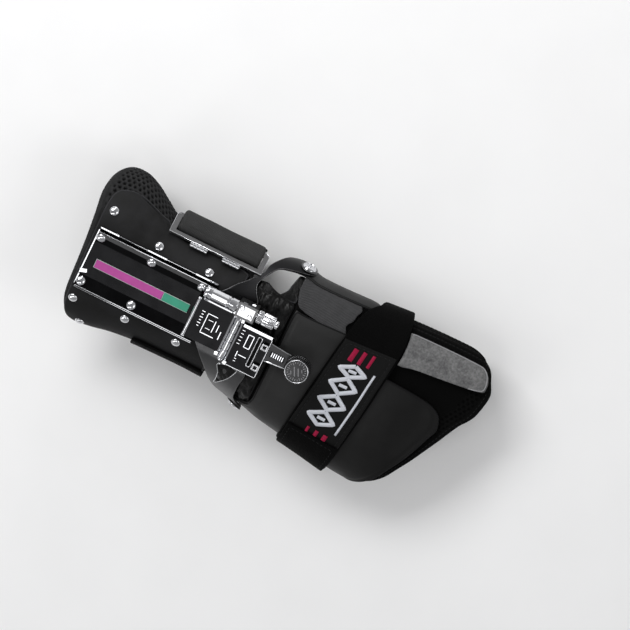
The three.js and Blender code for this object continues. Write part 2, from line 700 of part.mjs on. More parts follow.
// Hinge barrel with ringed knuckles and domed ends
const hingeLow = HINGE_SIDE - HINGE_LENGTH / 2;
const hingeProfile = [[0, 0], [HINGE_R * 0.7, 0], [HINGE_R, HINGE_R * 0.3]];
for (let k = 1; k < HINGE_KNUCKLES; k += 1) {
  const y = (HINGE_LENGTH * k) / HINGE_KNUCKLES;
  hingeProfile.push([HINGE_R, y - 0.5], [HINGE_R * 0.82, y - 0.2]);
  hingeProfile.push([HINGE_R * 0.82, y + 0.2], [HINGE_R, y + 0.5]);
}
hingeProfile.push([HINGE_R, HINGE_LENGTH - HINGE_R * 0.3], [HINGE_R * 0.7, HINGE_LENGTH]);
hingeProfile.push([0, HINGE_LENGTH]);
const hinge = add('hinge_barrel', turned(hingeProfile, 12), CHROME);
const hingePlace = new THREE.Vector3(hingeLow, hingeAt, yokeTop + SEAT + HINGE_R);
aim(hinge, hingePlace, new THREE.Vector3(1, 0, 0));

// Front plate with its slot and turned side, and the two posts on it
const plateLow = PLATE_SIDE - PLATE_WIDTH / 2;
let frontPlate = block(plateLow, plateFrom, plateBase, PLATE_WIDTH, PLATE_LENGTH, PLATE_T);
const slotLow = plateLow + PLATE_WIDTH * PLATE_SLOT_FROM;
const slotLength = PLATE_WIDTH * PLATE_SLOT_RUN;
frontPlate = cut(frontPlate, block(
  slotLow, plateFrom + PLATE_SLOT_AT, plateBase - 1,
  slotLength, PLATE_SLOT, PLATE_T + 2,
));
frontPlate = join(frontPlate, block(
  plateLow, plateFrom + PLATE_FLANGE_FROM, plateBase,
  PLATE_T, PLATE_LENGTH - PLATE_FLANGE_FROM, PLATE_T + PLATE_FLANGE_H,
));
add('front_plate', frontPlate, BLACK_CHROME);
for (const [label, side] of POSTS) {
  const x = plateLow + PLATE_WIDTH * side - POST_SIZE / 2;
  const y = plateEnd - POST_SIZE - POST_INSET;
  const z = plateBase + PLATE_T + SEAT;
  add(`post_${label}`, block(x, y, z, POST_SIZE, POST_SIZE, POST_H), CHROME);
}

// Lead screw: a barrel, a core through the block, and a rod that carries the adjusting nut
const screwHeight = trayBase + TRAY_RIM_H + BARREL_R - BARREL_SINK;
const screw = new THREE.Group();
screw.position.set(-SCREW_SIDE, carriageFrom + SCREW_BEHIND, screwHeight);
glove.add(screw);
const blockFrom = BARREL_LENGTH + SEAT;
const nutFrom = blockFrom + BLOCK_LENGTH + SPIN_GAP;
const capFrom = nutFrom + NUT_LENGTH + SPIN_GAP;
add('lead_screw', turned([
  [0, 0],
  [BARREL_R * 0.8, 0],
  [BARREL_R, BARREL_R * 0.25],
  [BARREL_R, BARREL_LENGTH],
  [CORE_R, BARREL_LENGTH],
  [CORE_R, blockFrom + BLOCK_LENGTH],
  [ROD_R, blockFrom + BLOCK_LENGTH],
  [ROD_R, capFrom],
  [CAP_R, capFrom],
  [CAP_R, capFrom + CAP_T],
  [0, capFrom + CAP_T],
], 16), CHROME, screw);
const blockBase = yokeTop + SEAT - screwHeight;
const blockHeight = BARREL_R + 0.6 - blockBase;
const screwBlock = cut(
  block(-BLOCK_WIDTH / 2, blockFrom, blockBase, BLOCK_WIDTH, BLOCK_LENGTH, blockHeight),
  rod(CORE_R + SEAT, blockFrom + BLOCK_LENGTH * 1.5, 16),
);
add('screw_block', screwBlock, CHROME, screw);
const nut = toothed(NUT_R, ROD_R + SPIN_GAP, NUT_LENGTH, NUT_TEETH, NUT_TOOTH);
add('adjusting_nut', nut.rotateX(-Math.PI / 2).translate(0, nutFrom, 0), CHROME, screw);

// Dial arm under the front plate, the pin through it, and the knurled dial on the pin
const armBase = plateBase - SEAT - ARM_PLATE_T;
const armShape = outline([
  [DIAL_SIDE - ARM_WIDE / 2, plateEnd - ARM_UNDER],
  [DIAL_SIDE + ARM_WIDE / 2, plateEnd - ARM_UNDER],
  [DIAL_SIDE + ARM_WIDE / 2, plateEnd],
  [DIAL_SIDE + ARM_NARROW / 2, dialAt],
]);
armShape.absarc(DIAL_SIDE, dialAt, ARM_NARROW / 2, 0, Math.PI, false);
const armHole = new THREE.Path();
armHole.absarc(DIAL_SIDE, dialAt, PIN_R + SEAT, 0, 2 * Math.PI, true);
armShape.holes.push(armHole);
const armOptions = { depth: ARM_PLATE_T, bevelEnabled: false, curveSegments: 10 };
const arm = new THREE.ExtrudeGeometry(armShape, armOptions);
add('dial_arm', arm.translate(0, 0, armBase), BLACK_CHROME);
const dialBase = armBase + ARM_PLATE_T + SPIN_GAP;
const overHand = envelope(dialAt, 0, STRAP_OUT).z;
const pinBase = overHand + SEAT;
const pinTop = dialBase + DIAL_H - PIN_SINK;
const dialPin = add('dial_pin', rod(PIN_R, pinTop - pinBase, 16), CHROME);
aim(dialPin, new THREE.Vector3(DIAL_SIDE, dialAt, pinBase), new THREE.Vector3(0, 0, 1));
const dial = add('dial', toothed(DIAL_R, PIN_R + SPIN_GAP, DIAL_H, DIAL_TEETH, DIAL_TOOTH), STEEL);
dial.position.set(DIAL_SIDE, dialAt, dialBase);

// Strap ring: a flat frame between two turns of the thumb side. Its local X runs down the flank,
// its local Z points outwards.
const ringMiddle = RING_FROM + RING_LENGTH / 2;
const ringTop = envelope(ringMiddle, RING_INNER_TURN, STRAP_OUT + RING_LIFT);
const ringFoot = envelope(ringMiddle, RING_OUTER_TURN, STRAP_OUT + RING_LIFT_OUTER);
const ringDown = ringFoot.sub(ringTop).normalize();
const flank = new THREE.Group();
flank.position.set(ringTop.x, 0, ringTop.z);
flank.rotation.y = Math.atan2(-ringDown.z, ringDown.x);
glove.add(flank);
const ringShape = outline([
  [-RING_BAR / 2, RING_FROM],
  [RING_WIDTH - RING_BAR / 2 - RING_CORNER, RING_FROM],
  [RING_WIDTH - RING_BAR / 2, RING_FROM + RING_CORNER],
  [RING_WIDTH - RING_BAR / 2, RING_END - RING_CORNER],
  [RING_WIDTH - RING_BAR / 2 - RING_CORNER, RING_END],
  [-RING_BAR / 2, RING_END],
]);
const ringHole = new THREE.Path([
  [RING_BAR / 2, RING_FROM + RING_BAR],
  [RING_BAR / 2, RING_END - RING_BAR],
  [RING_WIDTH - RING_BAR * 1.5, RING_END - RING_BAR],
  [RING_WIDTH - RING_BAR * 1.5, RING_FROM + RING_BAR],
].map(([x, y]) => new THREE.Vector2(x, y)));
ringShape.holes.push(ringHole);
const ring = new THREE.ExtrudeGeometry(ringShape, { depth: RING_T, bevelEnabled: false });
add('strap_ring', ring.translate(0, 0, -RING_T / 2), STEEL, flank);
for (const [k, part] of KNUCKLE_AT.entries()) {
  const barrel = rod(KNUCKLE_R, KNUCKLE_LENGTH, 10);
  barrel.translate(-RING_BAR / 2 - SEAT - KNUCKLE_R, RING_FROM + part * RING_LENGTH, 0);
  add(`ring_knuckle_${k + 1}`, barrel, CHROME, flank);
}

// Fold of the strap round the ring's outer bar
const foldLow = RING_BAR / 2 + FOLD_SPACE;
const foldShape = new THREE.Shape();
const foldR = FOLD_T / 2;
const foldBase = -RING_T / 2 - SEAT - FOLD_WALL;
foldShape.moveTo(foldLow + foldR, foldBase);
foldShape.lineTo(foldLow + FOLD_WIDTH - foldR, foldBase);
foldShape.absarc(
  foldLow + FOLD_WIDTH - foldR, foldBase + foldR, foldR, -Math.PI / 2, Math.PI / 2, false,
);
foldShape.lineTo(foldLow + foldR, foldBase + FOLD_T);
foldShape.absarc(foldLow + foldR, foldBase + foldR, foldR, Math.PI / 2, Math.PI * 1.5, false);
const barLow = RING_WIDTH - RING_BAR * 1.5;
const barSlot = new THREE.Path([
  [barLow - SEAT, -RING_T / 2 - SEAT],
  [barLow - SEAT, RING_T / 2 + SEAT],
  [barLow + RING_BAR + SEAT, RING_T / 2 + SEAT],
  [barLow + RING_BAR + SEAT, -RING_T / 2 - SEAT],
].map(([x, y]) => new THREE.Vector2(x, y)));
foldShape.holes.push(barSlot);
const foldFrom = RING_FROM + RING_BAR + GAP;
const foldLength = RING_LENGTH - 2 * (RING_BAR + GAP);
add('strap_fold', alongY(foldShape, foldFrom, foldLength), WEBBING, flank);

// The whole glove, moved so that the origin is under the middle of its box
const box = new THREE.Box3().setFromObject(glove, true);
const middle = box.getCenter(new THREE.Vector3());
glove.position.set(-middle.x, -middle.y, -box.min.z);

export default glove;
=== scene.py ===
"""Looks, stage and camera of the bowling wrist support glove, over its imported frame."""
import math

import bmesh
import bpy
import numpy as np
from bpy.props import FloatProperty, FloatVectorProperty, PointerProperty
from mathutils import Matrix, Vector


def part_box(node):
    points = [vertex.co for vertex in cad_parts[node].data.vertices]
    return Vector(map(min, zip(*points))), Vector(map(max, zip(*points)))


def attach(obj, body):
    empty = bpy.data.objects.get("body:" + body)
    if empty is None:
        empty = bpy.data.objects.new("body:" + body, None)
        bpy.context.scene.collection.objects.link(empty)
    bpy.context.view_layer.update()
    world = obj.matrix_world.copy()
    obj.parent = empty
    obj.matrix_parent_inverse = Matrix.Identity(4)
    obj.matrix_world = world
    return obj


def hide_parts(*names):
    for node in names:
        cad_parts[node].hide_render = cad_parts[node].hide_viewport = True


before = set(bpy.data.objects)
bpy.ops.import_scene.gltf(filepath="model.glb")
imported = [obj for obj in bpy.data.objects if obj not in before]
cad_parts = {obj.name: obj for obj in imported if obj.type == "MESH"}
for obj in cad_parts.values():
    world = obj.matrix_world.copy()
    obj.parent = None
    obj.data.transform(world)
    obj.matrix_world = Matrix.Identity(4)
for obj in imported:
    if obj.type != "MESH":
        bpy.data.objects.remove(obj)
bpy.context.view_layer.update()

bl_info = {
    "name": "Bowling wrist support glove looks",
    "version": (1, 0, 0),
    "blender": (4, 5, 0),
    "location": "View3D > Sidebar > Glove",
    "description": "Detailed cloth, plates and hardware of a wrist support glove",
    "category": "Object",
}

# Lengths are in millimetres here, and turn to metres in build_mesh
MM = 0.001
FULL_LENGTH = 284.0
ARM_HALF = 40.0
ARM_DEPTH = 47.5
ROUNDING = 1.2
PAD_OUT = 4.0
SHELL_IN = 4.4
SHELL_OUT = 6.4
STRAP_IN = 6.8
STRAP_OUT = 8.8
YOKE_IN = 6.7
YOKE_OUT = 8.7
PATCH_T = 1.2
SPLINT_T = 4.6
END_IN = STRAP_OUT + 0.4
END_OUT = STRAP_OUT + 2.0

# Strap ring and the strap's fold on it
RING_WIDE = 20.0
RING_T = 1.6
RING_INNER = 8.2
RING_FROM = 50.0
RING_LENGTH = 66.0
RING_CORNER = 3.1
KNUCKLE_LENGTH = 12.5
ROLL_LENGTH = 58.0
ROLL_GAP = 4.0
ROLL_HALF_WIDE = 9.4
ROLL_HALF_T = 3.3
ROLL_POWER = 2.6
ROLL_ROUND = 2.4
ROLL_DOWN = 12.3
ROLL_OUT = 0.95

# Plates, hinge, screw and dial
PLATE_TOP = 68.8
MARK_TOP = PLATE_TOP + 0.12
MARK_T = 0.3
HINGE_LENGTH = 31.5
HINGE_Y = 115.8
HINGE_Z = 67.8
SCREW_FROM = 88.0
SCREW_Z = 71.3
NUT_FROM = 37.25
DIAL_R = 8.8
DIAL_GROOVE_R = 8.3
DIAL_TICKS = 24
CRISP_ANGLE = 35

# Turns in degrees of the rivets and pivots round the section
RIVET_TURN = 37.5
FLANK_RIVET_TURN = 67.5
PIVOT_TURN = 82.5

# The camera leans 18 degrees to the thumb side, and its picture is turned by 26.2 degrees
VIEW_RIGHT = (-0.41990, 0.8973, -0.13643)
VIEW_UP = (-0.85339, -0.4415, -0.27729)
VIEW_BACK = (-0.30902, 0, 0.95106)
FLOOR_HALF = 3000.0
FLOOR_DROP = 0.3
SENSOR = 36.0

# The frame's origin: along is measured from the liner's elbow end, across from the tray's middle
CHANNEL = [np.array(corner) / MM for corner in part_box("channel")]
SHIFT_X = (CHANNEL[0][0] + CHANNEL[1][0]) / 2
SHIFT_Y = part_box("forearm_pad")[0][1] / MM

# Sections of the inner form: place along, half widths towards the thumb and the little finger,
# and depth, as shares of the sizes above
SECTIONS = np.array([
    (0.0, 1.27, 1.12, 1.0),
    (0.067, 1.36, 1.15, 1.0),
    (0.106, 1.27, 1.12, 1.0),
    (0.146, 1.08, 1.06, 1.0),
    (0.176, 0.94, 1.03, 1.0),
    (0.225, 0.925, 1.0, 1.0),
    (0.384, 0.935, 1.0, 1.0),
    (0.454, 1.04, 1.1, 0.985),
    (0.504, 1.06, 1.22, 0.96),
    (0.542, 1.0, 1.3, 0.93),
    (0.658, 1.0, 1.46, 0.81),
    (0.771, 1.05, 1.6, 0.71),
    (0.894, 1.06, 1.58, 0.61),
    (1.0, 1.03, 1.5, 0.55),
])

# Edges of the sheets: turn in degrees round the section, and both ends as shares of FULL_LENGTH
FOREARM_LINER = [
    (-112.5, 0.07, 0.36), (-90, 0.025, 0.385), (-67.5, 0.004, 0.394), (-52.5, 0, 0.394),
    (-30, 0.007, 0.394), (0, 0.015, 0.394), (37.5, 0.021, 0.394), (60, 0.032, 0.394),
    (82.5, 0.052, 0.39), (97.5, 0.08, 0.38), (112.5, 0.11, 0.36),
]
FOREARM_COVER = [
    (-66.5, 0.164, 0.17), (-63, 0.151, 0.178), (-60, 0.133, 0.183), (-58.3, 0.075, 0.19),
    (-57, 0.05, 0.3), (-54, 0.033, 0.385), (-46.8, 0.024, 0.385), (-37.5, 0.022, 0.385),
    (0, 0.025, 0.385), (45, 0.03, 0.385), (67.5, 0.046, 0.385), (82.5, 0.085, 0.375),
]
FOREARM_WEBBING = [(-300, 0.206, 0.386), (-180, 0.2, 0.388), (-97.5, 0.198, 0.397)]
WRIST_TONGUE = [
    (-53, 0.3965, 0.431), (-48.5, 0.3965, 0.445), (-44, 0.3965, 0.463), (-41, 0.3965, 0.5095),
    (60, 0.3965, 0.5095), (82.5, 0.41, 0.48),
]
THUMB_GUSSET = [
    (-76, 0.489, 0.514), (-60, 0.482, 0.51), (-52, 0.479, 0.5095), (-46, 0.468, 0.5095),
    (-41.2, 0.46, 0.5095),
]
WISHBONE = [
    (-97.5, 0.4719, 0.496), (-90, 0.4479, 0.5169), (-82.5, 0.436, 0.5211),
    (-75, 0.425, 0.512), (-71.5, 0.42, 0.488), (-69, 0.417, 0.448), (-66, 0.4152, 0.437),
    (-60, 0.4131, 0.427), (-52.5, 0.4, 0.416), (-45, 0.385, 0.411), (-37.5, 0.366, 0.418),
    (-30, 0.3521, 0.43),
    (-22.5, 0.338, 0.4349), (22.5, 0.338, 0.46), (30, 0.3521, 0.4761), (45, 0.38, 0.4719),
    (60, 0.4021, 0.4719), (75, 0.4241, 0.488), (82.5, 0.44, 0.499), (90, 0.4501, 0.496),
    (97.5, 0.464, 0.4821),
]
CRESCENT = [
    (29.5, 0.43, 0.456), (34, 0.4065, 0.4525), (38, 0.411, 0.4485), (43, 0.4165, 0.443),
    (52, 0.418, 0.4305), (60, 0.4165, 0.42),
]
INDEX_LINER = [
    (-105, 0.735, 0.905), (-90, 0.712, 0.935), (-82.5, 0.7, 0.952), (-75.6, 0.698, 0.962),
]
HAND_LINER = [
    (-79, 0.52, 0.69), (-75.2, 0.512, 0.963), (-52.5, 0.508, 0.989), (-37.5, 0.5085, 1.0),
    (-15, 0.5085, 0.991), (7.5, 0.5085, 0.953), (30, 0.5085, 0.911), (45, 0.5085, 0.885),
    (60, 0.5085, 0.863), (82.5, 0.5085, 0.817), (97.5, 0.53, 0.77), (105, 0.56, 0.735),
]
HAND_COVER = [
    (-37.5, 0.516, 0.705), (-30, 0.514, 0.712), (-15, 0.514, 0.72), (-7.5, 0.514, 0.885),
    (0, 0.514, 0.917), (7.5, 0.514, 0.925), (15, 0.514, 0.915), (30, 0.514, 0.893),
    (45, 0.514, 0.868), (60, 0.508, 0.846), (75, 0.466, 0.818), (90, 0.454, 0.778),
    (97.5, 0.46, 0.747),
]
THUMB_COVER = [
    (-97.5, 0.487, 0.66), (-90, 0.476, 0.682), (-82.5, 0.473, 0.69), (-74, 0.476, 0.694),
]
LOOP_PATCH = [
    (-73.5, 0.502, 0.647), (-60, 0.502, 0.646), (-45, 0.511, 0.638), (-41.5, 0.517, 0.637),
    (-40, 0.532, 0.6365), (-37.5, 0.571, 0.636), (-35.5, 0.589, 0.6358), (-33.8, 0.602, 0.635),
]
SPLINT = [
    (-64, 0.7745, 0.95), (-62, 0.775, 0.963), (-57, 0.777, 0.975), (-53.8, 0.778, 0.979),
    (-46, 0.779, 0.984), (-39.6, 0.779, 0.984), (-37.8, 0.779, 0.974), (-35.4, 0.7785, 0.944),
    (-32.5, 0.778, 0.876), (-31, 0.7775, 0.82), (-28.5, 0.777, 0.79),
]
HAND_WEBBING = [
    (-90, 0.697, 0.764), (-67.5, 0.662, 0.771), (-45, 0.646, 0.777), (0, 0.627, 0.766),
    (45, 0.607, 0.745), (90, 0.6, 0.733), (135, 0.607, 0.733), (180, 0.634, 0.746),
    (225, 0.676, 0.757), (270, 0.697, 0.764),
]
WEBBING_END = [(45, 0.611, 0.741), (90, 0.604, 0.729), (112.5, 0.608, 0.729)]


def cubic(keys, values, slope, at):
    """Smooth curve through points: v0 (1 - r) + v1 r + span * bend on each span.

    Here t goes from 0 to 1 over the span, r = 3t^2 - 2t^3, and the bend is
    t (1 - t)^2 slope0 - t^2 (1 - t) slope1.
    """
    row = np.clip(np.searchsorted(keys, at, side="right") - 1, 0, len(keys) - 2)
    span = keys[row + 1] - keys[row]
    t = np.clip((at - keys[row]) / span, 0, 1)
    rise = t * t * (3 - 2 * t)
    bend = t * (1 - t) ** 2 * slope[row] - t * t * (1 - t) * slope[row + 1]
    return values[row] * (1 - rise) + values[row + 1] * rise + span * bend


def monotone(keys, values, at):
    """Value of a smooth curve through points that never swings past them.

    The slope at a point is the harmonic mean of the neighbouring spans' slopes, or zero where
    those slopes differ in sign.
    """
    keys, values = np.asarray(keys, float), np.asarray(values, float)
    step = np.diff(values) / np.diff(keys)
    slope = np.zeros_like(values)
    both = step[:-1] * step[1:] > 0
    low, high = step[:-1][both], step[1:][both]
    slope[1:-1][both] = 2 * low * high / (low + high)
    slope[0], slope[-1] = step[0], step[-1]
    return cubic(keys, values, slope, at)


def through(keys, values, at):
    """Value of a smooth curve through points, each slope taken from both neighbours."""
    keys, values = np.asarray(keys, float), np.asarray(values, float)
    slope = np.empty_like(values)
    slope[1:-1] = (values[2:] - values[:-2]) / (keys[2:] - keys[:-2])
    slope[0] = (values[1] - values[0]) / (keys[1] - keys[0])
    slope[-1] = (values[-1] - values[-2]) / (keys[-1] - keys[-2])
    return cubic(keys, values, slope, at)


def band(table, turns):
    """Both ends, in millimetres along the glove, of a sheet's table at some turns."""
    table = np.asarray(table, float)
    return (monotone(table[:, 0], table[:, column], turns) * FULL_LENGTH for column in (1, 2))


def form(y, turn, offset):
    """Points of the glove's form, an ellipse moved out along its normal and flattened.

    x = wide sin t + offset nx and z = centre + the softly limited tall cos t + offset nz, where
    wide and tall follow the sections along y and (nx, nz) is the ellipse's unit normal.
    """
    y, turn, offset = np.broadcast_arrays(
        np.asarray(y, float), np.asarray(turn, float), np.asarray(offset, float))
    at = np.clip(y / FULL_LENGTH, 0, 1)
    half = through(SECTIONS[:, 0], SECTIONS[:, 3], at) * ARM_DEPTH / 2
    thumb = through(SECTIONS[:, 0], SECTIONS[:, 1], at) * ARM_HALF
    little = through(SECTIONS[:, 0], SECTIONS[:, 2], at) * ARM_HALF
    sine, cosine = np.sin(np.radians(turn)), np.cos(np.radians(turn))
    wide = np.where(sine < 0, thumb, little)
    tall = half * ROUNDING
    size = np.hypot(tall * sine, wide * cosine)
    across, up = tall * sine / size, wide * cosine / size
    limit = half + offset
    rise = tall * cosine + up * offset
    over = np.abs(rise) - limit
    softness = 0.25
    rise = np.sign(rise) * (np.abs(rise) - (over + np.sqrt(over * over + softness)) / 2)
    return np.stack((wide * sine + across * offset, y, STRAP_OUT + half + rise), -1)


def normals(y, turn, offset, step=0.5, swing=0.7, core=32.0):
    """Unit normals of the form at an offset, from its differences along and across.

    They point away from the line at the height of core in the glove's middle.
    """
    along = form(y + step, turn, offset) - form(y - step, turn, offset)
    across = form(y, turn + swing, offset) - form(y, turn - swing, offset)
    out = np.cross(along, across)
    out /= np.linalg.norm(out, axis=-1, keepdims=True)
    none = 0 * y + 0 * turn
    middle = np.stack((none, none + y, none + core), -1)
    flip = np.sum(out * (form(y, turn, offset) - middle), -1, keepdims=True) < 0
    return np.where(flip, -out, out)


def stations(length, step, rim, bends=6):
    """Places from 0 to a length: the cosines of a quarter circle on each rim, then even."""
    near = rim * (1 - np.cos(np.linspace(0, np.pi / 2, bends)))[:-1]
    count = max(int(round((length - 2 * rim) / step)), 2)
    middle = np.linspace(rim, length - rim, count + 1)
    return np.concatenate((near, middle, length - near[::-1]))


def distances(points):
    """Distance run along a path at each of its points."""
    return np.concatenate(([0], np.cumsum(np.linalg.norm(np.diff(points, axis=0), axis=1))))


def lattice(u, v, pitch):
    """Distance from each point to the nearest point of a triangular lattice, in pitches."""
    tall = pitch * math.sqrt(3)
    best = None
    for shift in (0, 0.5):
        du = (u / pitch + shift) % 1 - 0.5
        dv = ((v / tall + shift) % 1 - 0.5) * math.sqrt(3)
        gap = np.hypot(du, dv)
        best = gap if best is None else np.minimum(best, gap)
    return best


def smoothstep(low, high, value):
    """0 below low, 1 above high, and 3t^2 - 2t^3 between them."""
    t = np.clip((value - low) / (high - low), 0, 1)
    return t * t * (3 - 2 * t)


def quarter(share):
    """Height of a quarter circle, from 0 at a share of 0 to 1 at a share of 1 and past it."""
    return np.sqrt(1 - (1 - np.clip(share, 0, 1)) ** 2)


def bell(value, middle, wide):
    """A bell curve, 1 high at its middle."""
    return np.exp(-((value - middle) / wide) ** 2)


def ripples(u, v, seed, size, count=5):
    """Sum of sine waves of random directions and phases, about 1 high, for folds and wear."""
    random = np.random.default_rng(seed)
    total = 0 * u
    for k in range(count):
        angle = random.uniform(0, math.pi)
        length = size * random.uniform(0.6, 1.6)
        phase = random.uniform(0, 2 * math.pi)
        run = u * math.cos(angle) + v * math.sin(angle)
        total = total + np.sin(run * 2 * math.pi / length + phase)
    return total / math.sqrt(count)


def build_mesh(name, points, faces, uv=None, marks=None, smooth=True, flat_angle=None):
    """A mesh object from an array of points, a list of face arrays and optional per-point data."""
    points = np.asarray(points, float).reshape(-1, 3)
    points = (points + (SHIFT_X, SHIFT_Y, 0)) * MM
    mesh = bpy.data.meshes.new(name)
    corners = np.concatenate([np.asarray(f, int).ravel() for f in faces])
    sizes = np.concatenate([np.full(len(f), np.asarray(f).shape[1]) for f in faces])
    mesh.vertices.add(len(points))
    mesh.vertices.foreach_set("co", points.ravel())
    mesh.loops.add(len(corners))
    mesh.loops.foreach_set("vertex_index", corners)
    mesh.polygons.add(len(sizes))
    mesh.polygons.foreach_set("loop_start", np.concatenate(([0], np.cumsum(sizes)[:-1])))
    mesh.polygons.foreach_set("loop_total", sizes)
    mesh.polygons.foreach_set("use_smooth", np.full(len(sizes), smooth))
    if uv is not None:
        layer = mesh.uv_layers.new(name="UVMap")
        layer.data.foreach_set("uv", (np.asarray(uv, float).reshape(-1, 2) * MM)[corners].ravel())
    for mark, values in (marks or {}).items():
        attribute = mesh.attributes.new(mark, "FLOAT", "POINT")
        attribute.data.foreach_set("value", np.asarray(values, float).ravel())
    mesh.update()
    mesh.validate()
    if flat_angle:
        mesh.set_sharp_from_angle(angle=math.radians(flat_angle))
    return link_object(name, mesh)


def link_object(name, data):
    """A new object in the scene's collection."""
    obj = bpy.data.objects.new(name, data)
    bpy.context.scene.collection.objects.link(obj)
    return obj


def outward(obj):
    """Turns a closed mesh's faces outwards if its signed volume is below zero."""
    mesh = obj.data
    mesh.calc_loop_triangles()
    points = np.empty(len(mesh.vertices) * 3)
    mesh.vertices.foreach_get("co", points)
    corners = np.empty(len(mesh.loop_triangles) * 3, int)
    mesh.loop_triangles.foreach_get("vertices", corners)
    a, b, c = points.reshape(-1, 3)[corners.reshape(-1, 3)].transpose(1, 0, 2)
    if np.einsum("ij,ij->i", a, np.cross(b, c)).sum() < 0:
        mesh.flip_normals()
        mesh.update()
    return obj


def grid_faces(rows, columns, wrap_rows=False, wrap_columns=False):
    """Quads of a grid of points that is stored row by row, closed on itself where asked."""
    r = np.arange(rows if wrap_rows else rows - 1)[:, None]
    c = np.arange(columns if wrap_columns else columns - 1)[None, :]
    r2, c2 = (r + 1) % rows, (c + 1) % columns
    quads = np.stack((r * columns + c, r * columns + c2, r2 * columns + c2, r2 * columns + c), -1)
    return quads.reshape(-1, 4)


def caps(count, sides):
    """Fans that close both ends of count points in rings, from two tips stored after them."""
    ends = np.arange(sides)
    after = (ends + 1) % sides
    first = np.stack((np.full(sides, count), after, ends), -1)
    last = np.stack((np.full(sides, count + 1), count - sides + ends, count - sides + after), -1)
    return np.concatenate((first, last))


def pillow(name, top, low, uv, marks=None, wrap=False):
    """A closed sheet from two grids of points that meet on their rims.

    Both grids are (columns, rows, 3). The outer grid gives the rim's points, so the inner one
    keeps only its inside, and the two share one row of points all round.
    """
    columns, rows = top.shape[:2]
    outer = np.arange(columns * rows).reshape(columns, rows)
    keep = np.zeros((columns, rows), bool)
    keep[:, 1:-1] = True
    if not wrap:
        keep[[0, -1]] = False
    inner = outer.copy()
    inner[keep] = columns * rows + np.arange(keep.sum())
    points = np.concatenate((top.reshape(-1, 3), low[keep]))
    faces = grid_faces(columns, rows, wrap_rows=wrap)
    flipped = inner.ravel()[faces][:, ::-1]
    both_uv = np.concatenate((uv.reshape(-1, 2), uv[keep]))
    both = {k: np.concatenate((v.ravel(), 0 * v[keep])) for k, v in (marks or {}).items()}
    return outward(build_mesh(name, points, [faces, flipped], both_uv, both))


class Sheet:
    """A sheet on the form between two offsets, with rounded rims.

    Its points are form(y, turn, middle +- half thickness * h), where h is the product of the
    quarter circles sqrt(1 - (1 - d / rim)^2) of the distances d to its four edges.
    """

    def __init__(self, table, inner, outer, step=1.5, rim=0.9, wrap=False):
        """Lays out the grid: even places on the middle surface, and closer ones on the rims."""
        table = np.asarray(table, float)
        self.table, self.inner, self.outer = table, inner, outer
        first, last = table[0, 0], table[-1, 0]
        middle = (table[:, 1] + table[:, 2]).mean() / 2 * FULL_LENGTH
        fine = np.linspace(first, last, 400)
        path = form(middle + 0 * fine, fine, (inner + outer) / 2)
        run = distances(path)
        self.width = run[-1]
        if wrap:
            count = int(self.width / step)
            places = np.linspace(0, self.width, count + 1)[:-1]
        else:
            places = stations(self.width, step, rim)
        self.turn = np.interp(places, run, fine)
        start, end = band(table, self.turn)
        longest = (end - start).max()
        along = stations(longest, step, rim) / longest
        self.y = start[:, None] + along[None, :] * (end - start)[:, None]
        self.t = np.repeat(self.turn[:, None], len(along), 1)
        self.u = np.repeat(places[:, None], len(along), 1)
        self.edge_y = np.minimum(self.y - start[:, None], end[:, None] - self.y)
        self.edge_u = self.u * 0 + self.width if wrap else np.minimum(self.u, self.width - self.u)
        self.wrap, self.rim = wrap, rim

    def strap_of_cloth(self):
        """Finds the points of this sheet's middle surface, closed on itself where it wraps, and does
        nothing more with them.
        summed over the grid's cells, divided by that breadth.
        """
        points = form(self.y, self.t, (self.inner + self.outer) / 2)
        if self.wrap:
            points = np.concatenate((points, points[:1]))

    def edge(self):
        """Distance to the nearest edge."""
        return np.minimum(self.edge_y, self.edge_u)

    def profile(self):
        """Height of the rounded rim, from 0 on the edges to 1 inside."""
        return quarter(self.edge_y / self.rim) * quarter(self.edge_u / self.rim)

    def build(self, name, relief=0.0, marks=None):
        """The sheet's mesh, with its outer face moved by a relief."""
        h = self.profile()
        middle, half = (self.inner + self.outer) / 2, (self.outer - self.inner) / 2
        top = form(self.y, self.t, middle + (half + relief) * h)
        low = form(self.y, self.t, middle - half * h)
        uv = np.stack((self.u, self.y), -1)
        return pillow(name, top, low, uv, marks, self.wrap)

    def outline(self, inset=0.0, lift=0.0, step=0.8):
        """Closed path of points round the sheet at an inset from its edges, on its outer face."""
        table = self.table
        share = inset / max(self.width, 1)
        low = table[0, 0] + share * (table[-1, 0] - table[0, 0])
        high = table[-1, 0] - share * (table[-1, 0] - table[0, 0])
        turns = np.linspace(low, high, max(int(self.width / step), 8))
        start, end = band(table, turns)
        start, end = start + inset, end - inset
        side = max(int((end[-1] - start[-1]) / step), 3)
        other = max(int((end[0] - start[0]) / step), 3)
        y = np.concatenate((start, np.linspace(start[-1], end[-1], side + 1)[1:-1], end[::-1],
                            np.linspace(end[0], start[0], other + 1)[1:-1]))
        t = np.concatenate((turns, np.full(side - 1, high), turns[::-1], np.full(other - 1, low)))
        return round_path(np.stack((y, t), -1), 4), self.outer + lift


def round_path(path, passes):
    """A closed path with its corners rounded by repeated (a + 2b + c) / 4."""
    for _ in range(passes):
        path = (np.roll(path, 1, 0) + 2 * path + np.roll(path, -1, 0)) / 4
    return path


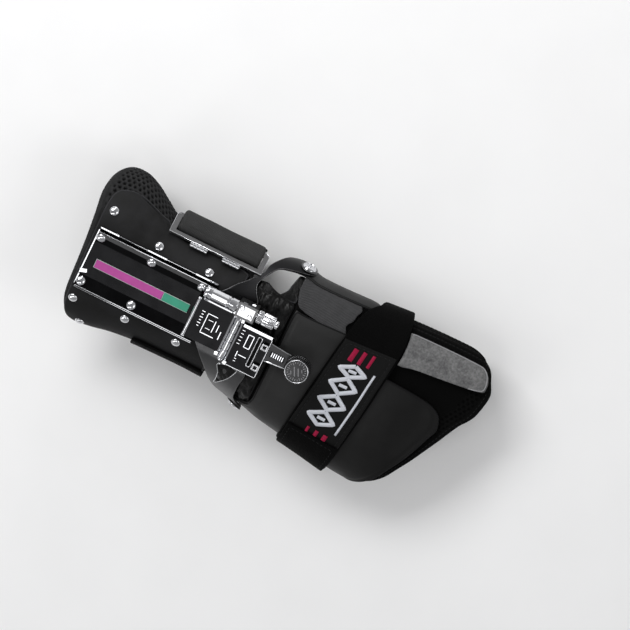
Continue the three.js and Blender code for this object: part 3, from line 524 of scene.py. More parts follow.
def tube(name, path, radius, sides=8, closed=True, flat=1.0, up=None):
    """A tube along a path: circles, or ellipses of the given flatness, across its tangent.

    Each ring is p + r (cos a side + flat sin a up), where up is as near as it can be to the
    given direction.
    """
    path = np.asarray(path, float)
    tangent = np.roll(path, -1, 0) - np.roll(path, 1, 0) if closed else np.gradient(path, axis=0)
    tangent /= np.linalg.norm(tangent, axis=1, keepdims=True)
    up = np.broadcast_to(np.array((0, 0, 1.0)) if up is None else up, path.shape)
    side = np.cross(tangent, up)
    side /= np.linalg.norm(side, axis=1, keepdims=True) + 1e-9
    over = np.cross(side, tangent)
    angle = np.linspace(0, 2 * np.pi, sides, endpoint=False)[None, :, None]
    ring = np.cos(angle) * side[:, None] + flat * np.sin(angle) * over[:, None]
    points = (path[:, None] + radius * ring).reshape(-1, 3)
    faces = [grid_faces(len(path), sides, wrap_rows=closed, wrap_columns=True)]
    run, turn = distances(path)[:, None], np.arange(sides)[None, :] * 1.0
    uv = np.stack(np.broadcast_arrays(run, turn), -1).reshape(-1, 2)
    if not closed:
        faces.append(caps(len(points), sides))
        points = np.concatenate((points, path[:1], path[-1:]))
        uv = np.concatenate((uv, uv[:1], uv[-1:]))
    return outward(build_mesh(name, points, faces, uv))


def on_form(path, offset):
    """Points and outward normals of a path of (y, turn) pairs at an offset."""
    return form(path[:, 0], path[:, 1], offset), normals(path[:, 0], path[:, 1], offset)


def swept(loop, sides, waves=None, least=0.0):
    """Rings of points: each (r, h) swept round +Z.

    waves is (count, depth, lowest h, highest h). Between those heights, and where r is over
    least, r is less by depth (1 - cos(count a)) / 2.
    """
    angle = np.linspace(0, 2 * np.pi, sides, endpoint=False)
    radius = np.repeat(loop[:, :1], sides, 1)
    if waves:
        count, depth, low, high = waves
        inside = (loop[:, 1] >= low) & (loop[:, 1] <= high) & (loop[:, 0] > least)
        radius[inside] -= depth * (0.5 - 0.5 * np.cos(count * angle))[None, :]
    rings = (radius * np.cos(angle), radius * np.sin(angle), np.repeat(loop[:, 1:], sides, 1))
    return np.stack(rings, -1).reshape(-1, 3)


def turned(name, points, faces, place, axis):
    """A turned piece's mesh, made round +Z, with +Z turned to an axis at a place."""
    turn = np.array(Vector((0, 0, 1)).rotation_difference(Vector(axis).normalized()).to_matrix())
    usual_radius = 5
    uv = np.stack((np.arctan2(points[:, 1], points[:, 0]) * usual_radius, points[:, 2]), -1)
    moved = points @ turn.T + np.asarray(place, float)
    return outward(build_mesh(name, moved, faces, uv, flat_angle=CRISP_ANGLE))


def revolve(name, profile, sides=48, place=(0, 0, 0), axis=(0, 0, 1), waves=None):
    """A turned piece, from a profile of (r, h) that starts and ends on the axis."""
    profile = np.asarray(profile, float)
    points = swept(profile[1:-1], sides, waves)
    faces = [grid_faces(len(profile) - 2, sides, wrap_columns=True), caps(len(points), sides)]
    points = np.concatenate((points, [(0, 0, profile[0, 1]), (0, 0, profile[-1, 1])]))
    return turned(name, points, faces, place, axis)


def wheel(name, loop, sides, place, axis, waves=None):
    """A turned ring, from a closed loop of (r, h), knurled on its outermost face."""
    loop = np.asarray(loop, float)
    points = swept(loop, sides, waves, loop[:, 0].max() - 0.05)
    faces = [grid_faces(len(loop), sides, wrap_rows=True, wrap_columns=True)]
    return turned(name, points, faces, place, axis)


def slabs(name, boxes, bevel=0.15, matrix=None):
    """Bars with chamfered edges: each is x, y, z, width, length, height and a turn about z.

    A bar is the hull of its corners, each drawn in along two axes at a time. A bar that isn't
    turned leaves its last value out.
    """
    signs = np.array([(x, y, z) for x in (-1, 1) for y in (-1, 1) for z in (-1, 1)])
    signs, kept = np.repeat(signs, 3, 0), np.tile(np.eye(3), (8, 1))
    whole = bmesh.new()
    for x, y, z, width, length, height, *turn in boxes:
        half = np.array((width, length, height)) / 2
        edge = min(bevel, half.min() * 0.6)
        corners = signs * (half - edge * (1 - kept))
        angle = math.radians(sum(turn))
        c, s = math.cos(angle), math.sin(angle)
        spun = np.stack((corners[:, 0] * c - corners[:, 1] * s,
                         corners[:, 0] * s + corners[:, 1] * c, corners[:, 2]), -1)
        made = [whole.verts.new(point) for point in spun + (x, y, z)]
        bmesh.ops.convex_hull(whole, input=made)
    points = np.array([v.co for v in whole.verts])
    whole.verts.index_update()
    if matrix is not None:
        points = points @ np.asarray(matrix[0]).T + np.asarray(matrix[1])
    groups = {}
    for face in whole.faces:
        groups.setdefault(len(face.verts), []).append([v.index for v in face.verts])
    whole.free()
    faces = [np.array(group) for group in groups.values()]
    return build_mesh(name, points, faces, points[:, :2], smooth=False)


def arc(cx, cy, radius, start, end, count=12):
    """Points of an arc between two angles in degrees."""
    angle = np.radians(np.linspace(start, end, count))
    return np.stack((cx + radius * np.cos(angle), cy + radius * np.sin(angle)), -1)


def rounded(x0, y0, x1, y1, radius, count=6):
    """Points of a rectangle with round corners."""
    corners = ((x1 - radius, y0 + radius, -90), (x1 - radius, y1 - radius, 0),
               (x0 + radius, y1 - radius, 90), (x0 + radius, y0 + radius, 180))
    return np.concatenate([arc(x, y, radius, start, start + 90, count) for x, y, start in corners])


def at_height(outline, z):
    """Points of an (x, y) outline at a height."""
    return np.concatenate((outline, np.full((len(outline), 1), z)), 1)


def sampled(places, run, values):
    """Vectors along a run of points, straight between them, at some places."""
    return np.stack([np.interp(places, run, values[:, k]) for k in range(3)], -1)


def stitches(name, path, offset, length=2.0, space=1.1, radius=0.22, lift=0.05):
    """A row of thread stitches along a path of (y, turn) on the form.

    Each stitch is an ellipsoid, long along the path, pressed halfway into the cloth.
    """
    points, out = on_form(path, offset + lift)
    run = distances(points)
    count = int(run[-1] / (length + space))
    places = (np.arange(count) + 0.5) * run[-1] / max(count, 1)
    reach = 0.4
    tangent = sampled(places + reach, run, points) - sampled(places - reach, run, points)
    tangent /= np.linalg.norm(tangent, axis=1, keepdims=True)
    normal = sampled(places, run, out)
    latitude = np.radians([-60, -20, 20, 60])[:, None]
    sides = 6
    longitude = np.linspace(0, 2 * np.pi, sides, endpoint=False)
    body = np.stack((np.repeat(np.sin(latitude) * length / 2, sides, 1),
                     np.cos(latitude) * np.cos(longitude) * radius,
                     np.cos(latitude) * np.sin(longitude) * radius), -1).reshape(-1, 3)
    rings, size = len(latitude), len(body) + 2
    body = np.concatenate((body, [(-length / 2, 0, 0), (length / 2, 0, 0)]))
    frames = np.stack((tangent, np.cross(tangent, normal), normal), 1)
    centre = sampled(places, run, points)
    placed = centre[:, None] + np.einsum("vk,nkj->nvj", body, frames)
    base = (np.arange(count) * size)[:, None, None]
    faces = [(grid_faces(rings, sides, wrap_columns=True)[None] + base).reshape(-1, 4),
             (caps(size - 2, sides)[None] + base).reshape(-1, 3)]
    return outward(build_mesh(name, placed, faces, placed.reshape(-1, 3)[:, :2]))


# Materials
def colour(code):
    """Linear colour of an sRGB hex code."""
    parts = [int(code[k:k + 2], 16) / 255 for k in (1, 3, 5)]
    return (*[c / 12.92 if c <= 0.04045 else ((c + 0.055) / 1.055) ** 2.4 for c in parts], 1.0)


def add_node(tree, kind, inputs=None, output=0, **settings):
    """One shader node with its settings and inputs; links where an input is a socket."""
    made = tree.nodes.new("ShaderNode" + kind)
    for key, value in settings.items():
        setattr(made, key, value)
    for key, value in (inputs or {}).items():
        if isinstance(value, bpy.types.NodeSocket):
            tree.links.new(value, made.inputs[key])
        else:
            made.inputs[key].default_value = value
    return made.outputs[output]


def in_mm(tree, source="Object"):
    """Object or UV coordinates as millimetres."""
    if source == "Object":
        vector = add_node(tree, "TexCoord", output="Object")
    else:
        vector = add_node(tree, "UVMap", uv_map="UVMap")
    return add_node(tree, "VectorMath", {0: vector, "Scale": 1000.0}, operation="SCALE")


def noise(tree, vector, size, detail=3.0, rough=0.5):
    """Noise whose blotches are about size millimetres."""
    inputs = {"Vector": vector, "Scale": 1 / size, "Detail": detail, "Roughness": rough}
    return add_node(tree, "TexNoise", inputs)


def spread(tree, value, low, high, to_low, to_high):
    """Value mapped from one range to another and clamped."""
    inputs = {"Value": value, "From Min": low, "From Max": high, "To Min": to_low, "To Max": to_high}
    return add_node(tree, "MapRange", inputs)


def mix(tree, factor, first, second):
    """Blend of two colours, each a hex code or a socket."""
    first, second = (colour(c) if isinstance(c, str) else c for c in (first, second))
    made = {0: factor, 6: first, 7: second}
    return add_node(tree, "Mix", made, output=2, data_type="RGBA")


def calc(tree, kind, first, second):
    """Sum, product or other function of two values."""
    return add_node(tree, "Math", {0: first, 1: second}, operation=kind)


def bump(tree, height, depth, before=None):
    """Bump of a height from 0 to 1, depth millimetres deep."""
    inputs = {"Height": height, "Distance": depth * MM, "Strength": 1.0}
    if before is not None:
        inputs["Normal"] = before
    return add_node(tree, "Bump", inputs)


def new_material(name, base, rough, metal=0.0, **values):
    """A Principled material with uniform values set on its sockets."""
    made = bpy.data.materials.new(name)
    made.use_nodes = True
    tree = made.node_tree
    tree.nodes.clear()
    shader = tree.nodes.new("ShaderNodeBsdfPrincipled")
    output = tree.nodes.new("ShaderNodeOutputMaterial")
    tree.links.new(shader.outputs[0], output.inputs["Surface"])
    shader.inputs["Base Color"].default_value = colour(base)
    shader.inputs["Roughness"].default_value = rough
    shader.inputs["Metallic"].default_value = metal
    for key, value in values.items():
        shader.inputs[key.replace("_", " ")].default_value = value
    return made, tree, shader.inputs


def spacer_mesh(name, deep, pale):
    """Black polyester spacer knit: holes painted nearly black as shade between grey yarn walls, with a
    fine loop texture.
    """
    made, tree, ports = new_material(name, pale, 0.85, Specular_IOR_Level=0.08)
    pit = add_node(tree, "Attribute", output="Fac", attribute_name="pit")
    place = in_mm(tree, "UV")
    wave = add_node(tree, "TexWave", {"Vector": place, "Scale": 0.5, "Distortion": 1.5, "Detail": 1.0})
    yarn = mix(tree, noise(tree, place, 6.0), deep, pale)
    # The pit mark paints the holes, and a liner's knit past its border, nearly black: painted shade.
    tree.links.new(mix(tree, pit, yarn, "#010101"), ports["Base Color"])
    loops = calc(tree, "ADD", wave, noise(tree, place, 0.7))
    tree.links.new(bump(tree, loops, 0.12), ports["Normal"])
    return made


def coated_plate():
    """Black textured coating over an aluminium plate: fine matt grain with faint handling wear.

    It is darker towards the little finger side: painted shade.
    """
    made, tree, ports = new_material("powder_coated_plate", "#1d1d1e", 0.6, Specular_IOR_Level=0.12)
    place = in_mm(tree)
    grain = noise(tree, place, 0.55, 4.0, 0.6)
    wear = noise(tree, place, 14.0, 3.0)
    worn = spread(tree, wear, 0.35, 0.7, 0, 1)
    across = add_node(tree, "SeparateXYZ", {0: place})
    pale, deep = mix(tree, worn, "#191919", "#242425"), mix(tree, worn, "#0d0d0d", "#141415")
    # Painted shade: the colour darkens across x towards the little finger side.
    shade = mix(tree, spread(tree, across, 12.0, 36.0, 0, 1), pale, deep)
    tree.links.new(shade, ports["Base Color"])
    tree.links.new(spread(tree, wear, 0.3, 0.7, 0.52, 0.68), ports["Roughness"])
    tree.links.new(bump(tree, grain, 0.1), ports["Normal"])
    return made


def soft_vinyl():
    """Smooth black vinyl over foam: soft broad highlights, a barely visible pebble, and painted light
    falloff from the wrist to the fingertips.
    """
    made, tree, ports = new_material("pressed_vinyl", "#141414", 0.46, Specular_IOR_Level=0.2)
    place = in_mm(tree)
    wear = noise(tree, place, 22.0, 3.0)
    # Painted light falloff: the base colour is paler near the wrist and darker towards the fingertips,
    # its border wobbled by noise.
    along = add_node(tree, "SeparateXYZ", {0: place}, output=1)
    falloff_place = calc(tree, "ADD", along, calc(tree, "MULTIPLY", wear, 40.0))
    painted_falloff = spread(tree, falloff_place, 30.0, 120.0, 0, 1)
    tree.links.new(mix(tree, painted_falloff, "#2a2a2a", "#080808"), ports["Base Color"])
    tree.links.new(spread(tree, wear, 0.3, 0.7, 0.4, 0.54), ports["Roughness"])
    pebble = add_node(tree, "TexVoronoi", {"Vector": place, "Scale": 1.4}, feature="SMOOTH_F1")
    first = bump(tree, pebble, 0.025)
    tree.links.new(bump(tree, noise(tree, place, 9.0, 2.0), 0.25, first), ports["Normal"])
    return made


def creased_vinyl():
    """Thin black vinyl that crumples at the wrist: glossy folds and dull hollows."""
    made, tree, ports = new_material("crumpled_vinyl", "#040404", 0.27, Specular_IOR_Level=0.2)
    place = in_mm(tree, "UV")
    inputs = {"Vector": place, "Scale": 0.16, "Detail": 3.0, "Distortion": 1.6}
    crease = add_node(tree, "TexNoise", inputs)
    tree.links.new(spread(tree, crease, 0.35, 0.7, 0.3, 0.55), ports["Roughness"])
    tree.links.new(bump(tree, crease, 0.8), ports["Normal"])
    return made


def webbing(name, deep, pale, gloss):
    """Black polyester webbing: fine cross ribs with warp lines, and little gloss on the yarn."""
    made, tree, ports = new_material(name, pale, 0.7, Specular_IOR_Level=gloss)
    place = in_mm(tree, "UV")
    across = add_node(tree, "TexWave", {"Vector": place, "Scale": 0.45}, bands_direction="X")
    along = add_node(tree, "TexWave", {"Vector": place, "Scale": 0.32}, bands_direction="Y")
    weave = calc(tree, "MULTIPLY", across, along)
    tree.links.new(mix(tree, noise(tree, place, 11.0), deep, pale), ports["Base Color"])
    tree.links.new(bump(tree, weave, 0.3), ports["Normal"])
    return made


def brushed_suede():
    """Grey brushed suede over a stiff splint: mottled nap with lighter and darker strokes."""
    made, tree, ports = new_material("brushed_suede", "#5c5c5d", 0.95, Specular_IOR_Level=0.1)
    place = in_mm(tree)
    strokes = calc(tree, "ADD", noise(tree, place, 9.0, 5.0, 0.65), noise(tree, place, 1.6, 3.0))
    tree.links.new(mix(tree, spread(tree, strokes, 0.7, 1.35, 0, 1), "#4e4e4f", "#7a7a7a"),
                   ports["Base Color"])
    tree.links.new(bump(tree, noise(tree, place, 0.45, 4.0, 0.7), 0.15), ports["Normal"])
    return made


def loop_fabric():
    """Grey brushed loop fabric of a hook and loop fastener: diagonal ribs of tiny loops."""
    made, tree, ports = new_material("napped_loop_tape", "#3a3a3b", 0.95, Specular_IOR_Level=0.1)
    place = in_mm(tree, "UV")
    ribs = add_node(tree, "TexWave", {"Vector": place, "Scale": 0.45, "Distortion": 1.2},
                    bands_direction="DIAGONAL")
    tone = calc(tree, "ADD", ribs, noise(tree, place, 7.0, 4.0))
    tree.links.new(mix(tree, spread(tree, tone, -0.3, 1.9, 0, 1), "#262627", "#4c4c4d"),
                   ports["Base Color"])
    tree.links.new(bump(tree, calc(tree, "ADD", ribs, noise(tree, place, 0.6)), 0.2), ports["Normal"])
    return made


def plated(name, base, rough, smudge, scratch=0.004):
    """Polished plating: smudges in its roughness and hair scratches that break its mirror."""
    made, tree, ports = new_material(name, base, rough, 1.0)
    place = in_mm(tree)
    hand = noise(tree, place, 12.0, 4.0)
    tree.links.new(spread(tree, hand, 0.35, 0.75, rough, rough + smudge), ports["Roughness"])
    drawn = add_node(tree, "Mapping", {"Vector": place, "Scale": (6.0, 0.35, 6.0)})
    tree.links.new(bump(tree, noise(tree, drawn, 1.0, 2.0), scratch), ports["Normal"])
    return made


def black_chrome():
    """Black nickel plating on pressed steel: a dark mirror with clear bright reflections."""
    return plated("black_nickel_plate", "#1b1b1c", 0.2, 0.14)


def chrome():
    """Bright chrome plating on turned and sheared parts: hard white and black reflections."""
    return plated("bright_chrome_plate", "#d8d9dc", 0.07, 0.1)


def satin_steel():
    """Dark satin nickel on the stamped ring: soft grey reflections."""
    return plated("satin_nickel_stamping", "#666667", 0.3, 0.12, 0.01)


def shaded_steel():
    """Dark satin nickel on the wishbone, blacker on its thumb side arm than on the other one: painted
    dark reflection.
    """
    made = plated("wishbone_nickel", "#4c4c4d", 0.3, 0.12, 0.01)
    tree = made.node_tree
    across = add_node(tree, "SeparateXYZ", {0: in_mm(tree)})
    shader = next(node for node in tree.nodes if node.type == "BSDF_PRINCIPLED")
    # Painted dark reflection: the base colour darkens across x towards the thumb side arm.
    tree.links.new(mix(tree, spread(tree, across, -20.0, 25.0, 0, 1), "#232324", "#5c5c5d"),
                   shader.inputs["Base Color"])
    return made


def film(name, base, deep):
    """Glossy coloured film on the tray's floor: its colour mottled by noise between the base and a
    deeper tone.
    """
    made, tree, ports = new_material(name, base, 0.35, Coat_Weight=0.15, Coat_Roughness=0.1,
                                     Specular_IOR_Level=0.3)
    tree.links.new(mix(tree, noise(tree, in_mm(tree), 5.0), base, deep), ports["Base Color"])
    return made


def thread(name, base, deep):
    """Embroidery thread: rows of satin stitch with a silky highlight across them."""
    made, tree, ports = new_material(name, base, 0.55, Specular_IOR_Level=0.2)
    place = in_mm(tree, "UV")
    rows = add_node(tree, "TexWave", {"Vector": place, "Scale": 0.9, "Distortion": 0.6},
                    bands_direction="X")
    tree.links.new(mix(tree, rows, deep, base), ports["Base Color"])
    tree.links.new(bump(tree, rows, 0.12), ports["Normal"])
    return made


def edging(name, base, rough):
    """Folded vinyl edging or cord: a plain soft strip whose round top takes a thin highlight."""
    made, tree, ports = new_material(name, base, rough, Specular_IOR_Level=0.15)
    tree.links.new(bump(tree, noise(tree, in_mm(tree), 0.8), 0.05), ports["Normal"])
    return made


def studio_paper():
    """Pale matt backdrop paper, with the faintest mottle."""
    made, tree, ports = new_material("backdrop_paper", "#f4f4f4", 0.9)
    tree.links.new(mix(tree, noise(tree, in_mm(tree), 60.0), "#f1f1f1", "#f7f7f7"), ports["Base Color"])
    return made


MAKERS = {
    "mesh": lambda: spacer_mesh("spacer_knit_polyester", "#202020", "#343435"),
    # The hand's knit is a shaded copy of the forearm's: painted shade where the light falls off.
    "dark_mesh": lambda: spacer_mesh("spacer_knit_shaded", "#020202", "#080808"),
    "cover": coated_plate, "vinyl": soft_vinyl, "creased": creased_vinyl,
    "webbing": lambda: webbing("woven_webbing", "#020202", "#060606", 0.05),
    # The strap's fold is the same webbing with more gloss; its paler colour is painted light on the
    # roll.
    "strap_roll": lambda: webbing("glossy_webbing_painted_light", "#1a1a1a", "#2b2b2b", 0.35),
    "suede": brushed_suede, "loop": loop_fabric,
    "black_chrome": black_chrome, "chrome": chrome, "steel": satin_steel, "shaded_steel": shaded_steel,
    "magenta": lambda: film("magenta_film", "#b63f97", "#96307c"),
    "green": lambda: film("green_film", "#2c9b7c", "#217c62"),
    "border": lambda: edging("pale_film_edge", "#aab5b0", 0.35),
    "crimson": lambda: thread("crimson_thread", "#c0184a", "#7c0d30"),
    "white": lambda: thread("white_thread", "#eceef2", "#b9bdc9"),
    "dark_thread": lambda: edging("black_stitching", "#1d1d1e", 0.6),
    "edge": lambda: edging("black_edging", "#0c0c0d", 0.5),
    "grey_edge": lambda: edging("grey_edging", "#2a2a2c", 0.45),
    # Pale material: print on the dial's marks, and a painted highlight on the splint's piping.
    "light_edge": lambda: edging("pale_print_and_painted_highlight", "#8d8d8f", 0.5),
    "panel": lambda: edging("smooth_label_vinyl", "#090909", 0.5),
    "dial": lambda: plated("dark_nickel_dial", "#353536", 0.22, 0.14, 0.008),
    "paper": studio_paper,
    # Near-black matte slab for painted shade in the plate's slot.
    "slot_shade": lambda: edging("black_painted_slot_shade", "#030303", 0.7),
}
MADE = {}


def dress(obj, kind):
    """Gives an object one of the materials above, made once."""
    if kind not in MADE:
        MADE[kind] = MAKERS[kind]()
    obj.data.materials.clear()
    obj.data.materials.append(MADE[kind])
    return obj


def piece(obj, kind="chrome", body="glove", stands_for=()):
    """Dresses a new piece, makes it ride with its body, and hides the nodes that it stands for.
    """
    dress(obj, kind)
    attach(obj, body)
    if stands_for:
        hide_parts(*stands_for)
    return obj


# Cloth and covered pieces
def knit(sheet, settings, past):
    """Share of a mesh hole at each point of a liner: none on the bound hem or past the border."""
    holes = 1 - smoothstep(0.2, 0.36, lattice(sheet.y, sheet.u * 1.15, settings.mesh_pitch))
    shown = smoothstep(settings.hem, settings.hem + 1.2, sheet.edge())
    return holes * shown * (1 - past)


def liner(name, table, settings, node, border=400.0, kind="mesh"):
    """A padded knit liner: round rims, sunk holes and a bound hem with a row of stitches.

    Past the border, in millimetres from its edge, it has no holes and its knit is painted nearly black
    as shade.
    """
    sheet = Sheet(table, 0, PAD_OUT, settings.mesh_step, 1.9)
    edge = sheet.edge()
    past = smoothstep(border, border + 1.5, edge)
    pit = knit(sheet, settings, past)
    hem = 1 - smoothstep(settings.hem - 1, settings.hem, edge)
    groove = bell(edge, settings.hem, 0.5)
    relief = 0.25 * hem - settings.mesh_depth * pit - 0.4 * groove
    # Past the border the pit mark carries painted shade that blackens the knit.
    made = sheet.build(name, relief, {"pit": np.maximum(pit, 0.85 * past)})
    piece(made, kind, stands_for=[node])
    path, offset = sheet.outline(settings.hem - 1.2)
    row = stitches(f"{name}_hem_stitches", path, offset, 1.8, 1.0, 0.2, 0.2)
    piece(row, "dark_thread")


def edge_cord(name, sheet, radius, inset=0.8, lift=-0.35, step=0.8):
    """A cord along a sheet's outline, half sunk in its rim."""
    path, offset = sheet.outline(inset, lift, step)
    points, out = on_form(path, offset)
    return tube(name, points, radius, up=out)


def covered(name, sheet, kind, node, edging, radius, relief=0.0):
    """A covered sheet with edging cord round it."""
    piece(sheet.build(name, relief), kind, stands_for=[node])
    piece(edge_cord(f"{name}_edging", sheet, radius), edging)


def build_forearm_cloth(settings):
    """Liner and plate of the forearm."""
    liner("forearm_liner", FOREARM_LINER, settings, "forearm_pad")
    cover = Sheet(FOREARM_COVER, SHELL_IN, SHELL_OUT, 1.6, 0.9)
    covered("forearm_cover", cover, "cover", "forearm_shell", "grey_edge", 0.55)


def flank_frame():
    """Origin and axes of the strap ring's plane: down the flank, and outwards.

    The ring's section is turned by an angle whose cosine c and sine s solve
    RING_WIDE c + RING_T s = box width and RING_WIDE s + RING_T c = box height.
    """
    low, high = (np.array(c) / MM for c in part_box("strap_ring"))
    wide, tall = high[0] - low[0], high[2] - low[2]
    c, s = RING_WIDE * wide - RING_T * tall, RING_WIDE * tall - RING_T * wide
    c, s = c / math.hypot(c, s), s / math.hypot(c, s)
    down, out = np.array((-c, 0, -s)), np.array((-s, 0, c))
    middle = (low + high) / 2 - (SHIFT_X, SHIFT_Y, 0)
    return (middle - RING_INNER * down) * (1, 0, 1), down, out


def webbing_roll():
    """The strap's fold round the ring's outer bar, with lengthways folds and a seam.

    Its section is a superellipse |x / half width|^p + |z / half height|^p = 1, where p is
    ROLL_POWER, shrunk over its round ends.
    """
    origin, down, out = flank_frame()
    angle = np.linspace(0, 2 * np.pi, 56, endpoint=False)[None, :]
    along = stations(ROLL_LENGTH, 0.9, ROLL_ROUND)[:, None]
    cap = quarter(np.minimum(along, ROLL_LENGTH - along) / ROLL_ROUND)
    power = 2 / ROLL_POWER
    x = np.sign(np.cos(angle)) * np.abs(np.cos(angle)) ** power * ROLL_HALF_WIDE
    z = np.sign(np.sin(angle)) * np.abs(np.sin(angle)) ** power * ROLL_HALF_T
    crease = 0.28 * ripples(along, angle * ROLL_HALF_WIDE, 5, 26.0)
    scale = 1 + (crease - bell(angle, 2.2, 0.07) * 0.7) / 9
    x = ROLL_DOWN + x * scale * (0.72 + 0.28 * cap)
    z = ROLL_OUT + z * scale * (0.2 + 0.8 * cap)
    points = origin + x[..., None] * down + z[..., None] * out
    points[..., 1] = RING_FROM + ROLL_GAP + along
    flat = points.reshape(-1, 3)
    tips = np.stack((points[0].mean(0), points[-1].mean(0)))
    rows, sides = x.shape
    faces = [grid_faces(rows, sides, wrap_columns=True), caps(len(flat), sides)]
    uv = np.stack(np.broadcast_arrays(angle * 7, along), -1).reshape(-1, 2)
    flat, uv = np.concatenate((flat, tips)), np.concatenate((uv, uv[:2]))
    return outward(build_mesh("webbing_roll", flat, faces, uv))


def build_forearm_webbing(settings):
    """Strap round the forearm with its stitch rows, and its fold round the ring's bar."""
    strap = Sheet(FOREARM_WEBBING, STRAP_IN, STRAP_OUT, 1.5, 0.8)
    webbing = piece(strap.build("forearm_webbing"), "webbing", stands_for=["forearm_strap"])
    turns = np.linspace(strap.table[0, 0] + 1, strap.table[-1, 0] - 1, 240)
    start, end = band(strap.table, turns)
    for column, y in ((1, start + 3), (2, end - 3)):
        row = stitches(f"forearm_webbing_stitches_{column}", np.stack((y, turns), -1), STRAP_OUT)
        piece(row, "dark_thread")
    strap.strap_of_cloth()
    piece(webbing_roll(), "strap_roll", stands_for=["strap_fold"])


def build_wrist_tongue(settings):
    """Crumpled tongue under the adjuster, with folds across the wrist, and the thumb's gusset."""
    sheet = Sheet(WRIST_TONGUE, 0, PAD_OUT + 0.6, 0.9, 1.6)
    folds = np.abs(ripples(sheet.y * 2.2, sheet.u * 0.7, 11, 15.0, 6))
    fine = ripples(sheet.y, sheet.u, 12, 7.0, 6)
    made = sheet.build("wrist_tongue", settings.crease * (0.8 - folds) + 0.25 * fine)
    piece(made, "creased", stands_for=["wrist_pad"])
    piece(edge_cord("wrist_tongue_edging", sheet, 0.6), "edge")
    gusset = Sheet(THUMB_GUSSET, 0.4, PAD_OUT, 1.0, 1.2)
    made = gusset.build("thumb_gusset", 0.3 * ripples(gusset.u, gusset.y, 15, 9.0))
    piece(made, "creased")
    piece(edge_cord("thumb_gusset_edging", gusset, 0.45), "grey_edge")


def loop_patch():
    """Grey loop patch on the thumb side, with a ragged edge towards the fingers."""
    patch = Sheet(LOOP_PATCH, SHELL_IN, SHELL_IN + PATCH_T, 0.9, 0.5)
    ragged = 0.9 * ripples(patch.u, patch.u * 0 + 3, 31, 13.0)
    inside = np.clip((patch.y - patch.y[:, :1]) / (patch.y[:, -1:] - patch.y[:, :1]), 0, 1)
    patch.y = patch.y + ragged * inside ** 2
    nap = 0.1 * ripples(patch.u, patch.y, 32, 4.0)
    piece(patch.build("loop_patch", nap), "loop", stands_for=["thumb_patch"])


def index_splint():
    """Crowned splint of the index finger, with pale piping round its thumb side and its tip: a painted
    highlight on its edge.
    """
    splint = Sheet(SPLINT, SHELL_IN, SHELL_IN + SPLINT_T, 1.0, 2.0)
    crown = 0.7 * smoothstep(0, 12, splint.edge()) + 0.12 * ripples(splint.u, splint.y, 41, 18.0)
    made = splint.build("index_splint", crown - 0.3)
    piece(made, "suede", stands_for=["index_panel"])
    path, offset = splint.outline(1.1, -0.3)
    keep = (path[:, 1] < -60.5) | (path[:, 0] > 0.945 * FULL_LENGTH)
    start = np.argmax(keep & ~np.roll(keep, 1))
    points, out = on_form(np.roll(path, -start, 0)[:int(keep.sum())], offset)
    # The pale piping along the splint's edge is a painted highlight.
    piece(tube("index_splint_highlight_piping", points, 0.38, closed=False, up=out), "light_edge")


def build_hand_cloth(settings):
    """Liners of the hand, its covered plates, the loop patch and the splint."""
    liner("hand_liner", HAND_LINER, settings, "hand_pad", 13.0, "dark_mesh")
    liner("index_liner", INDEX_LINER, settings, "index_wing", kind="dark_mesh")
    cover = Sheet(HAND_COVER, SHELL_IN, SHELL_OUT, 1.4, 1.0)
    soft = 0.22 * ripples(cover.u, cover.y, 21, 60.0) - 0.3
    relief = soft * smoothstep(4, 14, cover.edge()) - 0.35 * bell(cover.edge(), 3.2, 0.6)
    covered("hand_cover", cover, "vinyl", "hand_shell", "edge", 0.6, relief)
    thumb = Sheet(THUMB_COVER, SHELL_IN, SHELL_OUT, 1.2, 0.9)
    covered("thumb_cover", thumb, "vinyl", "thumb_band", "edge", 0.45)
    loop_patch()
    index_splint()


def strap_point(places):
    """(y, turn) of places on the hand strap, given as (turn, share across its width)."""
    places = np.asarray(places, float)
    low, high = band(HAND_WEBBING, places[:, 0])
    return np.stack((low + places[:, 1] * (high - low), places[:, 0]), -1)


def dense(places, count=14):
    """A path with extra points on each straight run."""
    places = np.asarray(places, float)
    runs = [np.linspace(a, b, count, endpoint=False) for a, b in zip(places[:-1], places[1:])]
    return np.concatenate((*runs, places[-1:]))


def satin(name, places, width, kind="white", height=0.55):
    """A raised embroidered band: an ellipse swept along a path on the strap."""
    points, out = on_form(strap_point(dense(places)), STRAP_OUT + 0.5)
    made = tube(name, points, width / 2, 12, False, flat=height / width * 2, up=out)
    piece(made, kind)


def zigzag():
    """Plain motif of the strap: crimson bars, four white lozenges with cores, and a line."""
    for k, share in enumerate((0.30, 0.46, 0.62)):
        near, far = [(-28, share), (-15.5, share)], [(40, share + 0.06), (50, share + 0.06)]
        satin(f"crimson_bar_near_{k + 1}", near, 3.4 - 0.6 * k, "crimson")
        satin(f"crimson_bar_far_{k + 1}", far, 2.0 + 0.6 * k, "crimson")
    for k in range(4):
        middle = -7.5 + 12.5 * k
        left, right = (middle - 5.4, 0.45), (middle + 5.4, 0.45)
        lozenge = [left, (middle, 0.22), right, (middle, 0.68), left]
        satin(f"white_lozenge_{k + 1}", lozenge, 2.9, height=0.7)
        satin(f"white_lozenge_core_{k + 1}", [(middle, 0.38), (middle, 0.52)], 2.2, height=0.6)
    satin("white_line", [(-12, 0.8), (36, 0.8)], 1.6)


